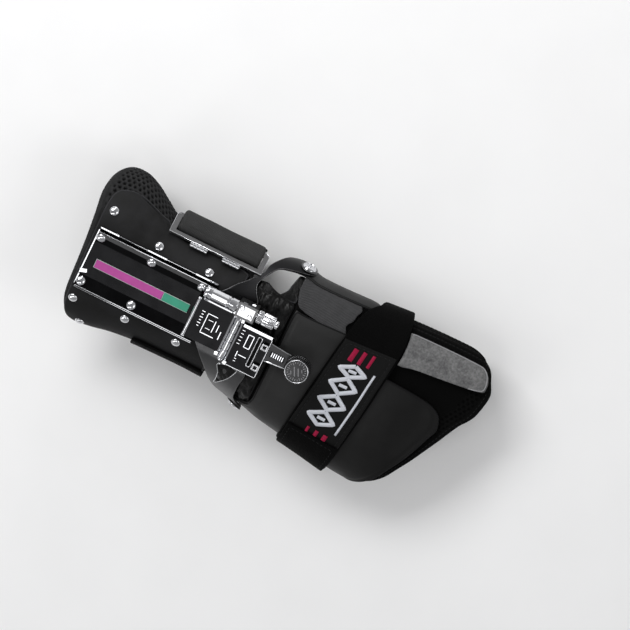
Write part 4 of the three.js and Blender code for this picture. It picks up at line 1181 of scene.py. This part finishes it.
def build_hand_webbing(settings):
    """Broad hand strap with its stitched panel, free end and a plain zigzag motif."""
    strap = Sheet(HAND_WEBBING, STRAP_IN, STRAP_OUT, 1.5, 0.8, wrap=True)
    webbing = piece(strap.build("hand_webbing"), "webbing", stands_for=["hand_strap"])
    strap.strap_of_cloth()
    panel_table = []
    for turn in (-33, -15, 0, 15, 30, 45, 61):
        ends = strap_point([(turn, 0.035), (turn, 0.965)])[:, 0] / FULL_LENGTH
        panel_table.append((turn, *ends))
    panel = Sheet(panel_table, STRAP_OUT - 0.5, STRAP_OUT + 0.45, 1.2, 0.5)
    seam = 2.6
    piece(panel.build("strap_panel", -0.25 * bell(panel.edge(), seam, 0.5)), "panel")
    end = Sheet(WEBBING_END, END_IN, END_OUT, 1.5, 0.7)
    free_end = piece(end.build("webbing_end"), "webbing", stands_for=["strap_end"])
    long = settings.stitch
    for name, sheet in (("strap_panel", panel), ("webbing_end", end)):
        path, offset = sheet.outline(seam)
        row = stitches(f"{name}_stitches", path, offset - 0.1, long, long * 0.6, 0.24)
        piece(row, "dark_thread")
    end.strap_of_cloth()
    zigzag()


# Plates, screws and dial
def rest_of(node):
    """Centre of a CAD node's box, in this script's millimetres."""
    low, high = (np.array(c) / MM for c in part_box(node))
    return (low + high) / 2 - (SHIFT_X, SHIFT_Y, 0)


def merge(name, parts):
    """Joins objects into one mesh object."""
    work = bmesh.new()
    for part in parts:
        work.from_mesh(part.data)
    mesh = bpy.data.meshes.new(name)
    work.to_mesh(mesh)
    work.free()
    for part in parts:
        bpy.data.objects.remove(part)
    return link_object(name, mesh)


def rod(name, start, end, radius, sides=10):
    """A straight chrome bar with hemispherical ends."""
    start, end = np.asarray(start, float), np.asarray(end, float)
    length = np.linalg.norm(end - start)
    bend = np.radians(np.linspace(90, 0, 5))
    low = np.stack((radius * np.cos(bend), radius * (1 - np.sin(bend))), -1)
    profile = np.concatenate((low, np.stack((low[::-1, 0], length - low[::-1, 1]), -1)))
    piece(revolve(name, profile, sides, start, (end - start) / length))


def bars(name, boxes, kind="chrome", body="glove", bevel=0.12, matrix=None):
    """Chamfered bars, dressed."""
    piece(slabs(name, boxes, bevel, matrix), kind, body)


def flat_marks(rows, z=MARK_TOP, height=MARK_T):
    """Bars of one height on a face, from rows of x, y, width, length and any turn."""
    return [(x, y, z, wide, long, height, *turn) for x, y, wide, long, *turn in rows]


def bolt(name, profile, sides, place, axis, nodes=()):
    """A turned chrome piece, dressed."""
    piece(revolve(name, profile, sides, place, axis), stands_for=nodes)


def build_tray(settings):
    """Bright rims, end lip and film borders of the pressed tray."""
    for side, label in ((-1, "thumb"), (1, "little")):
        for line, x, z, low, high, radius in (("rim", 19.9, 67.15, 10.2, 94.2, 0.34),
                                              ("flange_line", 21.9, 64.1, 9.9, 94.3, 0.28)):
            rod(f"tray_{line}_{label}", (side * x, low, z), (side * x, high, z), radius)
    bars("tray_end_lip", [(-2.5, 9.55, 64.7, 30, 0.9, 1.5), (15.4, 9.6, 65.9, 7.4, 0.9, 0.9),
                          (-19.6, 9.6, 66.0, 3.6, 0.8, 2.6), (9.4, 11.4, 64.75, 2.6, 4.8, 0.7, 18)])
    glints = [(-22.0, y, 1.1, length) for y, length in ((16.3, 13.5), (50.4, 14), (86.0, 16))]
    bars("tray_flange_glints", flat_marks(glints, 64.3, 0.5), bevel=0.2)
    lean = np.array(((0.94, 0, 0.34), (0, 1, 0), (-0.34, 0, 0.94)))
    bars("tray_slope_sheen", [(0, 52.2, 0, 2.9, 82, 0.2)], "steel", bevel=0.06,
         matrix=(lean, (-18.0, 0, 66.68)))
    frames = []
    for low, high in ((16.5, 64.5), (65.1, 83.3)):
        middle, length = (low + high) / 2, high - low
        frames += [(x, middle, 0.35, length + 0.5) for x in (-1.65, 4.25)]
        frames.append((1.3, low - 0.2, 6.2, 0.35))
    bars("film_borders", flat_marks(frames, 64.95, 0.45), "border", bevel=0.08)


def rivet_axis(node, centre):
    """Direction of a rivet: across the tray's flange, or the form's normal at its place."""
    if "tray" in node:
        up = np.array((-math.copysign(2.8, centre[0]), 0, 7.6))
        return up / np.linalg.norm(up)
    turn = FLANK_RIVET_TURN if "flank" in node else math.copysign(RIVET_TURN, centre[0])
    return normals(np.array([centre[1]]), np.array([turn]), SHELL_OUT)[0]


def build_rivets(settings):
    """Domed rivets: a quarter ellipse from the top to the rim, with a small flat brim."""
    radius, brim, tall, sunk = 3.25, 0.25, 1.75, 0.95
    rim = np.radians(np.linspace(0, 90, 9))
    dome = np.stack((radius * np.sin(rim), brim + tall * np.cos(rim)), -1)[::-1]
    profile = np.concatenate(([(0, 0), (3.3, 0)], dome))
    parts = []
    nodes = [node for node in sorted(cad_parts) if node.startswith("rivet_")]
    for node in nodes:
        centre = rest_of(node)
        up = rivet_axis(node, centre)
        parts.append(revolve(f"{node}_dome", profile, 32, centre - up * sunk, up))
    piece(merge("rivet_domes", parts), stands_for=nodes)


def carriage_trim():
    """Marks, lip and side lines of the plate that slides in the tray."""
    ticks = [(-3.2 + 2.1 * k, 93.2, 0.6, 1.5 if k % 2 else 2.3) for k in range(6)]
    scale = [(3.4, 96.6, 13.6, 0.55), (-3.2, 99.9, 0.6, 7.2), (10.6, 101.2, 0.7, 9.6),
             (3.6, 103.3, 8.4, 0.6), (3.6, 106.1, 5.2, 0.6), (7.4, 109.0, 5.8, 0.7),
             (0.6, 100.1, 0.5, 3.4), (6.6, 100.1, 0.5, 3.4)]
    bars("carriage_marks", flat_marks(ticks + scale))
    lip = [(3.1, 87.35, 70.45, 29.2, 2.1, 0.7), (3.1, 86.75, 68.9, 29.0, 0.6, 3.0)]
    bars("carriage_lip_trim", lip, bevel=0.25)
    rod("carriage_lip_roll", (-11.4, 87.3, 70.3), (17.6, 87.3, 70.3), 1.15, sides=24)
    sides = [(x, 99.9, 0.5, 26) for x in (17.55, -11.35)]
    bars("carriage_side_lines", flat_marks(sides, 67.9, 1.7), "black_chrome")


def grooved(first, places, last, radius, depth, half, land):
    """A profile with grooves at some heights, each half high at its floor and land at its top."""
    profile = list(first)
    for h in places:
        profile += [(radius, h - land), (radius - depth, h - half),
                    (radius - depth, h + half), (radius, h + land)]
    return profile + list(last)


def hinge():
    """Barrel of five knuckles, its leaves, two screws and the lugs that hold it."""
    long = HINGE_LENGTH
    profile = grooved([(0, 0), (1.7, 0), (2.3, 0.35), (2.5, 0.9)],
                      [long * k / 5 for k in range(1, 5)],
                      [(2.5, 30.6), (2.3, 31.15), (1.7, long), (0, long)], 2.5, 0.35, 0.2, 0.45)
    start = rest_of("hinge_barrel")[0] - long / 2
    bolt("hinge_knuckles", profile, 40, (start, HINGE_Y, HINGE_Z), (1, 0, 0), ["hinge_barrel"])
    rod("hinge_leaf_rear", (-9.5, 112.6, 69.2), (17.0, 112.6, 69.2), 0.75)
    rod("hinge_leaf_front", (-7.2, 119.1, 69.1), (21.6, 119.1, 69.1), 0.6)
    cap = [(0, 0), (2.0, 0), (2.3, 0.3), (2.3, 0.9), (1.5, 1.0), (1.4, 1.7), (0.9, 2.1), (0, 2.2)]
    for k, (x, side) in enumerate(((-12.2, -1), (21.6, 1))):
        bolt(f"hinge_screw_{k + 1}", cap, 24, (x - side * 1.1, HINGE_Y, HINGE_Z), (side, 0, 0))
    lugs = [(-9.4, 118.8, 70.2, 3.2, 2.4, 1.6, 12), (-12.6, 119.5, 69.0, 2.0, 4.4, 1.4, 30),
            (21.4, 119.4, 70.0, 2.6, 2.6, 1.8, -14), (18.6, 112.0, 69.4, 2.4, 2.6, 1.6, 8),
            (-12.2, 111.4, 69.6, 2.4, 3.6, 1.6, -18)]
    bars("hinge_lugs", lugs, bevel=0.3)


def front_plate_trim():
    """Marks, slot and edge lines of the hinged front plate."""
    marks = [(-3.4 + 2.4 * k, 122.0, 0.55, 2.0) for k in range(5)]
    marks += [(2.2, 126.2, 9.4, 0.6), (2.2, 130.0, 9.4, 0.6), (-2.4, 128.1, 0.6, 3.8),
              (6.8, 128.1, 0.6, 3.8), (13.0, 124.0, 4.2, 0.6), (13.0, 128.0, 0.6, 5.6),
              (16.2, 124.6, 0.5, 1.6), (18.0, 124.6, 0.5, 1.6)]
    bars("front_plate_marks", flat_marks(marks))
    slot = at_height(rounded(-4.1, 132.6, 17.6, 135.4, 1.2), PLATE_TOP + 0.05)
    piece(tube("slot_rim", slot, 0.38))
    # The slot's floor is a near-black slab: painted shade in the slot's recess.
    bars("slot_floor", [(6.75, 134.0, 67.6, 20.4, 1.3, 0.5)], "slot_shade")
    lines = [(-7.65, 130.8, 71.85, 2.1, 20.6, 0.4), (7.4, 141.25, 68.6, 30, 0.4, 0.7),
             (22.65, 130.2, 68.6, 0.4, 22, 0.7)]
    bars("front_plate_lines", lines, bevel=0.15)


def post_top(node):
    """Bright rim and dark top of a square post."""
    x, y, z = rest_of(node)
    rim = at_height(rounded(x - 1.9, y - 1.9, x + 1.9, y + 1.9, 0.5), z + 1.3)
    piece(tube(f"{node}_rim", rim, 0.42))
    bars(f"{node}_top", [(x, y, z + 1.35, 2.6, 2.6, 0.3)], "black_chrome")


def build_adjuster(settings):
    """Marks, hinge, slot and posts of the hinged adjuster plates."""
    carriage_trim()
    hinge()
    front_plate_trim()
    post_top("post_thumb")
    post_top("post_little")


def lead_screw(origin):
    """Turned lead screw with a fluted sleeve."""
    profile = [
        (0, 0), (2.9, 0), (3.6, 0.3), (4.2, 1.1), (4.3, 2.4), (3.8, 2.7), (3.8, 3.3), (4.3, 3.6),
        (4.3, 5.0), (4.05, 5.2), (4.05, 16.0), (4.3, 16.2), (4.3, 17.4), (3.7, 17.7), (3.7, 18.5),
        (4.3, 18.8), (4.3, 23.2), (4.1, 23.5), (2.4, 23.5), (2.4, 36.8), (1.8, 36.8), (1.8, 50.6),
        (2.9, 50.65), (3.0, 51.0), (3.0, 52.2), (2.6, 52.6), (0, 52.6),
    ]
    made = revolve("lead_screw_turned", profile, 60, origin, (0, 1, 0), (6, 0.35, 5.1, 16.1))
    piece(made, stands_for=["lead_screw"])


def adjusting_nut(origin):
    """Knurled nut on the screw, with one groove round it."""
    loop = [(2.25, 0), (3.4, 0), (4.1, 0.5), (4.3, 1.0), (4.3, 3.6), (3.8, 3.9), (3.8, 4.5),
            (4.3, 4.8), (4.3, 12.0), (4.0, 12.6), (3.5, 12.85), (2.25, 12.85)]
    loop = [(r, NUT_FROM + h) for r, h in loop]
    waves = (18, 0.5, NUT_FROM + 0.9, NUT_FROM + 12.1)
    nut = wheel("adjusting_nut_knurled", loop, 144, origin, (0, 1, 0), waves)
    piece(nut, body="adjusting_nut", stands_for=["adjusting_nut"])


def screw_block(origin):
    """Trim, two screw heads and the guide rod of the block that holds the screw."""
    x, y, z = origin
    trim = [(0, 30.3, 4.95, 7.6, 10.4, 0.5), (4.9, 30.3, 1.4, 1.0, 11.6, 4.6),
            (-5.0, 27.4, 1.6, 1.2, 3.0, 4.2), (6.0, 26.0, -1.4, 2.4, 3.0, 2.2, 20),
            (-5.9, 33.0, 1.2, 1.6, 2.6, 3.4, 12), (5.2, 12.0, -2.2, 1.4, 20.0, 1.0)]
    trim = [(x + dx, y + dy, z + dz, *size) for dx, dy, dz, *size in trim]
    bars("screw_block_trim", trim, bevel=0.25)
    head = [(0, 0), (1.7, 0), (1.75, 0.6), (1.2, 1.1), (0.5, 1.15), (0, 1.0)]
    for k, (dx, dy) in enumerate(((-1.8, 27.0), (1.9, 33.4))):
        bolt(f"screw_block_head_{k + 1}", head, 24, (x + dx, y + dy, z + 5.0), (0, 0, 1))
    rod("barrel_guide", (x + 5.4, y + 1.5, z - 0.4), (x + 5.4, y + 22.8, z - 0.4), 0.9)


def build_screw(settings):
    """Lead screw, the knurled adjusting nut and the screw block's details."""
    origin = np.array((rest_of("adjusting_nut")[0], SCREW_FROM, SCREW_Z))
    lead_screw(origin)
    adjusting_nut(origin)
    screw_block(origin)


def dial_wheel(x, y, low, tall):
    """Knurled wheel with two grooves and a plain face."""
    r, groove = DIAL_R, DIAL_GROOVE_R
    profile = [
        (0, tall - 0.55), (2.8, tall - 0.55), (2.8, 0), (7.9, 0), (8.5, 0.3), (r, 0.8), (r, 2.5),
        (groove, 2.8), (groove, 3.2), (r, 3.5), (r, 5.4), (groove, 5.7), (groove, 6.1), (r, 6.4),
        (r, tall - 1.0), (8.5, tall - 0.4), (8.0, tall), (7.4, tall), (7.1, tall - 0.35),
        (0, tall - 0.35),
    ]
    waves = (40, 0.35, 0.7, tall - 0.9)
    made = revolve("dial_knurled", profile, 240, (x, y, low), (0, 0, 1), waves)
    piece(made, "dial", "dial", ["dial"])


def dial_marks(x, y, face):
    """Ticks round the dial's face, each third one longer, and four slanting bars."""
    marks = []
    for k in range(DIAL_TICKS):
        angle = k * 360 / DIAL_TICKS
        r, long = (5.9, 1.1) if k % 3 else (5.5, 1.9)
        across, along = r * math.cos(math.radians(angle)), r * math.sin(math.radians(angle))
        marks.append((x + across, y + along, long, 0.4, angle))
    marks += [(x, y + 1.3, 5.4, 0.55, 25), (x + 0.6, y - 1.2, 6.4, 0.55, 25),
              (x - 1.6, y + 3.2, 2.2, 0.5, 25), (x + 2.1, y - 3.0, 2.6, 0.5, 25)]
    bars("dial_marks", flat_marks(marks, face, 0.35), "light_edge", "dial", 0.1)


def arm_trim(x):
    """Bright edges of the dial's arm, and its ribbed slot."""
    for side, label in ((-1, "thumb"), (1, "little")):
        start, end = (x + side * 6.35, 141.6, 66.45), (x + side * 4.9, 156.6, 66.45)
        rod(f"arm_edge_{label}", start, end, 0.42)
    bars("arm_slot_ribs", [(x + 0.2, 145.0 + 1.5 * k, 66.6, 3.4, 0.6, 0.35) for k in range(6)])
    bars("arm_slot", [(x + 0.2, 148.8, 66.5, 4.2, 10.2, 0.22)], "black_chrome")


def build_dial(settings):
    """Knurled dial with a marked face and a bright line, and the slotted arm's edges."""
    x, y = rest_of("dial")[:2]
    low, high = (corner[2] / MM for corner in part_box("dial"))
    dial_wheel(x, y, low, high - low)
    dial_marks(x, y, high - 0.3)
    line = at_height(arc(x, y, 7.55, 0, 354, 60), high - 0.02)
    piece(tube("dial_rim_line", line, 0.26), body="dial")
    arm_trim(x)


def crescent():
    """Dark inlay with a bright edge, for the wishbone's opening on the little finger side."""
    sheet = Sheet(CRESCENT, YOKE_OUT - 0.6, YOKE_OUT + 0.12, 0.8, 0.3)
    made = sheet.build("wishbone_crescent", 0.15 * ripples(sheet.u, sheet.y, 61, 6.0))
    piece(made, "creased")
    edge = edge_cord("wishbone_crescent_edge", sheet, 0.26, 0.1, 0.0, 0.5)
    piece(edge, "chrome")


def pivot_screw(node, turn):
    """Domed screw with a sunk ring in its head, over a flat washer."""
    y = rest_of(node)[1]
    out = normals(np.array([y]), np.array([turn]), YOKE_OUT)[0]
    seat = form(y, turn, YOKE_OUT + 0.35)
    profile = [(0, -4.2), (2.2, -4.2), (2.2, 0), (4.6, 0), (4.7, 0.5), (4.3, 1.2), (3.4, 1.7),
               (2.9, 1.75), (2.6, 1.3), (1.0, 1.3), (0.9, 1.9), (0, 1.95)]
    bolt(f"{node}_screw", profile, 40, seat, out, [node])
    washer = [(2.4, -0.3), (5.6, -0.3), (5.8, 0.0), (5.6, 0.25), (2.4, 0.25)]
    piece(wheel(f"{node}_washer", washer, 40, seat, out), "steel")


def build_wishbone(settings):
    """Stamped wishbone with bright sheared edges, its inlay, and the two pivot screws."""
    sheet = Sheet(WISHBONE, YOKE_IN, YOKE_OUT, 0.9, 0.55)
    piece(sheet.build("wishbone"), "shaded_steel", stands_for=["yoke"])
    piece(edge_cord("wishbone_edge", sheet, 0.26, 0.25, -0.3, 0.6), "steel")
    crescent()
    pivot_screw("pivot_thumb", -PIVOT_TURN)
    pivot_screw("pivot_little", PIVOT_TURN)


def build_ring(settings):
    """Knuckles and bright edges of the strap ring."""
    long = KNUCKLE_LENGTH
    profile = grooved([(0, 0), (1.2, 0), (1.7, 0.4)], (2.5, 5.0, 7.5, 10.0),
                      [(1.7, 12.1), (1.2, long), (0, long)], 1.7, 0.3, 0.1, 0.3)
    parts, nodes = [], ["ring_knuckle_1", "ring_knuckle_2"]
    for node in nodes:
        x, y, z = rest_of(node)
        parts.append(revolve(f"{node}_barrel", profile, 28, (x, y - long / 2, z), (0, 1, 0)))
    piece(merge("ring_knuckles", parts), stands_for=nodes)
    origin, down, out = flank_frame()
    low, high, corner = RING_FROM + 0.1, RING_FROM + RING_LENGTH - 0.1, RING_CORNER
    outer = np.concatenate((arc(15.0, low + corner, corner, -90, 0, 6),
                            arc(15.0, high - corner, corner, 0, 90, 6),
                            [(-1.6, high), (-1.6, low)]))
    points = at_height(outer, 0.75) @ np.stack((down, (0, 1, 0), out), 1).T + origin
    piece(tube("strap_ring_edge", points, 0.3, up=out), "chrome")


def finish_nodes(settings):
    """Materials and rounded edges of the CAD nodes that stay in view."""
    kept = {
        "channel": ("black_chrome", 0.3), "carriage": ("black_chrome", 0.35),
        "front_plate": ("black_chrome", 0.3), "dial_arm": ("dial", 0.3),
        "strap_ring": ("steel", 0.35), "post_thumb": ("chrome", 0.3), "post_little": ("chrome", 0.3),
        "screw_block": ("steel", 0.45), "dial_pin": ("chrome", 0.25),
        "strip_magenta": ("magenta", 0.1), "strip_green": ("green", 0.1),
    }
    for node, (kind, width) in kept.items():
        obj = bpy.data.objects[node]
        dress(obj, kind)
        bevel = obj.modifiers.new("rounded_edges", "BEVEL")
        bevel.width = width * MM
        bevel.segments = 3
        bevel.limit_method = "ANGLE"
        bevel.angle_limit = math.radians(30)
        bevel.harden_normals = True


# Stage
def build_world(settings):
    """Soft surroundings, paler below than above."""
    world = bpy.data.worlds.new("studio")
    bpy.context.scene.world = world
    world.use_nodes = True
    tree = world.node_tree
    tree.nodes.clear()
    output = tree.nodes.new("ShaderNodeOutputWorld")
    direction = add_node(tree, "TexCoord", output="Generated")
    height = add_node(tree, "SeparateXYZ", {0: direction}, output=2)
    sky = mix(tree, spread(tree, height, 0.0, 0.9, 0, 1), "#f2f2f2", "#b4b4b6")
    light = add_node(tree, "Background", {"Color": sky, "Strength": settings.sky})
    tree.links.new(light, output.inputs["Surface"])


def build_lights(settings, target, right, up, back):
    """Area lights round the target, each aimed at it: a place along the camera's axes, and a size."""
    for name, x, y, z, size, long, power in (
        ("top_softbox", -0.337, -0.686, 1.052, 0.5, 0.42, settings.top),
        ("key_softbox", -0.5, 0.75, 1.1, 0.9, 0.5, settings.key),
        ("fill_softbox", 0.9, -0.5, 1.0, 0.8, 0.8, settings.fill),
        ("strip_light", 0.15, 1.0, 0.35, 0.12, 1.1, settings.strip),
        ("rim_light", -0.9, -0.6, 0.5, 0.25, 0.9, settings.rim),
    ):
        lamp = bpy.data.lights.new(name, "AREA")
        lamp.shape = "RECTANGLE"
        lamp.size, lamp.size_y = size, long
        lamp.energy = power
        obj = link_object(name, lamp)
        obj.location = target + x * right + y * up + z * back
        obj.rotation_euler = (target - obj.location).to_track_quat("-Z", "Y").to_euler()


def build_stage(settings):
    """Pale floor, softboxes and the camera at the photo's angle."""
    corners = [(x * FLOOR_HALF, y * FLOOR_HALF, -FLOOR_DROP)
               for x, y in ((-1, -1), (1, -1), (1, 1), (-1, 1))]
    floor = dress(build_mesh("floor", corners, [np.array([[0, 1, 2, 3]])], smooth=False), "paper")
    scene = bpy.context.scene
    scene.view_settings.view_transform = "Standard"
    build_world(settings)
    target = Vector(settings.target) * MM
    right, up, back = Vector(VIEW_RIGHT), Vector(VIEW_UP), Vector(VIEW_BACK)
    build_lights(settings, target, right, up, back)
    camera = bpy.data.cameras.new("photo_camera")
    camera.sensor_width = SENSOR
    camera.lens = SENSOR * settings.distance / settings.view_width
    camera.clip_end = 20
    obj = link_object("photo_camera", camera)
    turn = Matrix((right, up, back)).transposed().to_4x4()
    obj.matrix_world = Matrix.Translation(target + back * settings.distance) @ turn
    scene.camera = obj


# Settings, operators and panel
LENGTH = {"unit": "LENGTH", "subtype": "DISTANCE"}


def number(name, description, default, least=0.0, **unit):
    """A setting with its default and its least value."""
    return FloatProperty(name=name, description=description, default=default, min=least, **unit)


class GloveCloth(bpy.types.PropertyGroup):
    """Sizes of the knit, the hems and the stitches, in millimetres."""

    mesh_pitch: number("Mesh pitch", "Distance between mesh holes", 3.6, 1.0)
    mesh_depth: number("Mesh depth", "Depth of the mesh holes", 1.0)
    mesh_step: number("Mesh fineness", "Spacing of the liner's grid", 0.75, 0.5)
    hem: number("Hem", "Width of the bound hem", 4.2)
    crease: number("Creases", "Height of the wrist's folds", 0.9)
    stitch: number("Stitch", "Length of a stitch", 1.9, 0.5)


class GloveStage(bpy.types.PropertyGroup):
    """Light and camera."""

    sky: number("Sky", "Strength of the soft surroundings", 0.55)
    top: number("Top", "Power of the softbox over the glove", 1.4)
    key: number("Key", "Power of the large softbox", 13.0)
    fill: number("Fill", "Power of the second softbox", 3.4)
    strip: number("Strip", "Power of the strip light", 3.5)
    rim: number("Rim", "Power of the low side light", 2.2)
    distance: number("Distance", "Camera to the subject", 5.0, 0.3, **LENGTH)
    view_width: number("View width", "Width seen at the subject", 0.4065, 0.05, **LENGTH)
    target: FloatVectorProperty(name="Target", description="Middle of the view, in millimetres",
                                size=3, default=(-40.0, 16.6, 63.0))


class GloveOperator:
    """Common part of the operators: calls one builder with its settings."""

    bl_options = {"REGISTER", "UNDO"}
    builder = None
    group = "glove_cloth"

    def execute(self, context):
        """Builds the piece; an error stops the script."""
        type(self).builder(getattr(context.scene, self.group))
        return {"FINISHED"}


class GLOVE_OT_forearm_cloth(GloveOperator, bpy.types.Operator):
    """Builds the forearm's knit liner and covered plate."""

    bl_idname = "glove.forearm_cloth"
    bl_label = "Forearm cloth"
    builder = staticmethod(build_forearm_cloth)


class GLOVE_OT_forearm_webbing(GloveOperator, bpy.types.Operator):
    """Builds the forearm strap and its fold round the ring."""

    bl_idname = "glove.forearm_webbing"
    bl_label = "Forearm strap"
    builder = staticmethod(build_forearm_webbing)


class GLOVE_OT_wrist_tongue(GloveOperator, bpy.types.Operator):
    """Builds the crumpled tongue at the wrist."""

    bl_idname = "glove.wrist_tongue"
    bl_label = "Wrist tongue"
    builder = staticmethod(build_wrist_tongue)


class GLOVE_OT_hand_cloth(GloveOperator, bpy.types.Operator):
    """Builds the hand's liners, covers, loop patch and splint."""

    bl_idname = "glove.hand_cloth"
    bl_label = "Hand cloth"
    builder = staticmethod(build_hand_cloth)


class GLOVE_OT_hand_webbing(GloveOperator, bpy.types.Operator):
    """Builds the hand strap with its panel, stitches and motif."""

    bl_idname = "glove.hand_webbing"
    bl_label = "Hand strap"
    builder = staticmethod(build_hand_webbing)


class GLOVE_OT_tray(GloveOperator, bpy.types.Operator):
    """Builds the tray's bright edges and film borders."""

    bl_idname = "glove.tray"
    bl_label = "Tray edges"
    builder = staticmethod(build_tray)


class GLOVE_OT_rivets(GloveOperator, bpy.types.Operator):
    """Builds the domed rivets."""

    bl_idname = "glove.rivets"
    bl_label = "Rivets"
    builder = staticmethod(build_rivets)


class GLOVE_OT_adjuster(GloveOperator, bpy.types.Operator):
    """Builds the hinge and the marks, slot and posts of the adjuster plates."""

    bl_idname = "glove.adjuster"
    bl_label = "Adjuster plates"
    builder = staticmethod(build_adjuster)


class GLOVE_OT_screw(GloveOperator, bpy.types.Operator):
    """Builds the lead screw and its knurled nut."""

    bl_idname = "glove.screw"
    bl_label = "Lead screw"
    builder = staticmethod(build_screw)


class GLOVE_OT_dial(GloveOperator, bpy.types.Operator):
    """Builds the knurled dial and the arm's edges."""

    bl_idname = "glove.dial"
    bl_label = "Dial"
    builder = staticmethod(build_dial)


class GLOVE_OT_wishbone(GloveOperator, bpy.types.Operator):
    """Builds the wishbone and its pivot screws."""

    bl_idname = "glove.wishbone"
    bl_label = "Wishbone"
    builder = staticmethod(build_wishbone)


class GLOVE_OT_ring(GloveOperator, bpy.types.Operator):
    """Builds the strap ring's knuckles and edge."""

    bl_idname = "glove.ring"
    bl_label = "Strap ring"
    builder = staticmethod(build_ring)


class GLOVE_OT_nodes(GloveOperator, bpy.types.Operator):
    """Gives the CAD nodes in view their materials and rounded edges."""

    bl_idname = "glove.nodes"
    bl_label = "CAD finishes"
    builder = staticmethod(finish_nodes)


class GLOVE_OT_stage(GloveOperator, bpy.types.Operator):
    """Builds the floor, the lights and the camera."""

    bl_idname = "glove.stage"
    bl_label = "Stage"
    builder = staticmethod(build_stage)
    group = "glove_stage"


STEPS = (
    GLOVE_OT_forearm_cloth, GLOVE_OT_forearm_webbing, GLOVE_OT_wrist_tongue, GLOVE_OT_hand_cloth,
    GLOVE_OT_hand_webbing, GLOVE_OT_tray, GLOVE_OT_rivets, GLOVE_OT_adjuster, GLOVE_OT_screw,
    GLOVE_OT_dial, GLOVE_OT_wishbone, GLOVE_OT_ring, GLOVE_OT_nodes, GLOVE_OT_stage,
)


class GLOVE_PT_panel(bpy.types.Panel):
    """Sidebar panel with the settings and one button per step."""

    bl_label = "Glove"
    bl_idname = "GLOVE_PT_panel"
    bl_space_type = "VIEW_3D"
    bl_region_type = "UI"
    bl_category = "Glove"

    def draw(self, context):
        """Lists the settings and the operators."""
        for group in (context.scene.glove_cloth, context.scene.glove_stage):
            for key in group.__annotations__:
                self.layout.prop(group, key)
        for step in STEPS:
            self.layout.operator(step.bl_idname)


CLASSES = (GloveCloth, GloveStage, *STEPS, GLOVE_PT_panel)


def register():
    """Registers the classes and the settings."""
    for made in CLASSES:
        bpy.utils.register_class(made)
    bpy.types.Scene.glove_cloth = PointerProperty(type=GloveCloth)
    bpy.types.Scene.glove_stage = PointerProperty(type=GloveStage)


def unregister():
    """Removes the settings and the classes."""
    del bpy.types.Scene.glove_cloth
    del bpy.types.Scene.glove_stage
    for made in reversed(CLASSES):
        bpy.utils.unregister_class(made)


def main():
    """Builds everything in order."""
    register()
    for step in STEPS:
        group, name = step.bl_idname.split(".")
        if getattr(getattr(bpy.ops, group), name)() != {"FINISHED"}:
            raise RuntimeError(f"{step.bl_idname} did not finish")


if __name__ == "__main__":
    main()
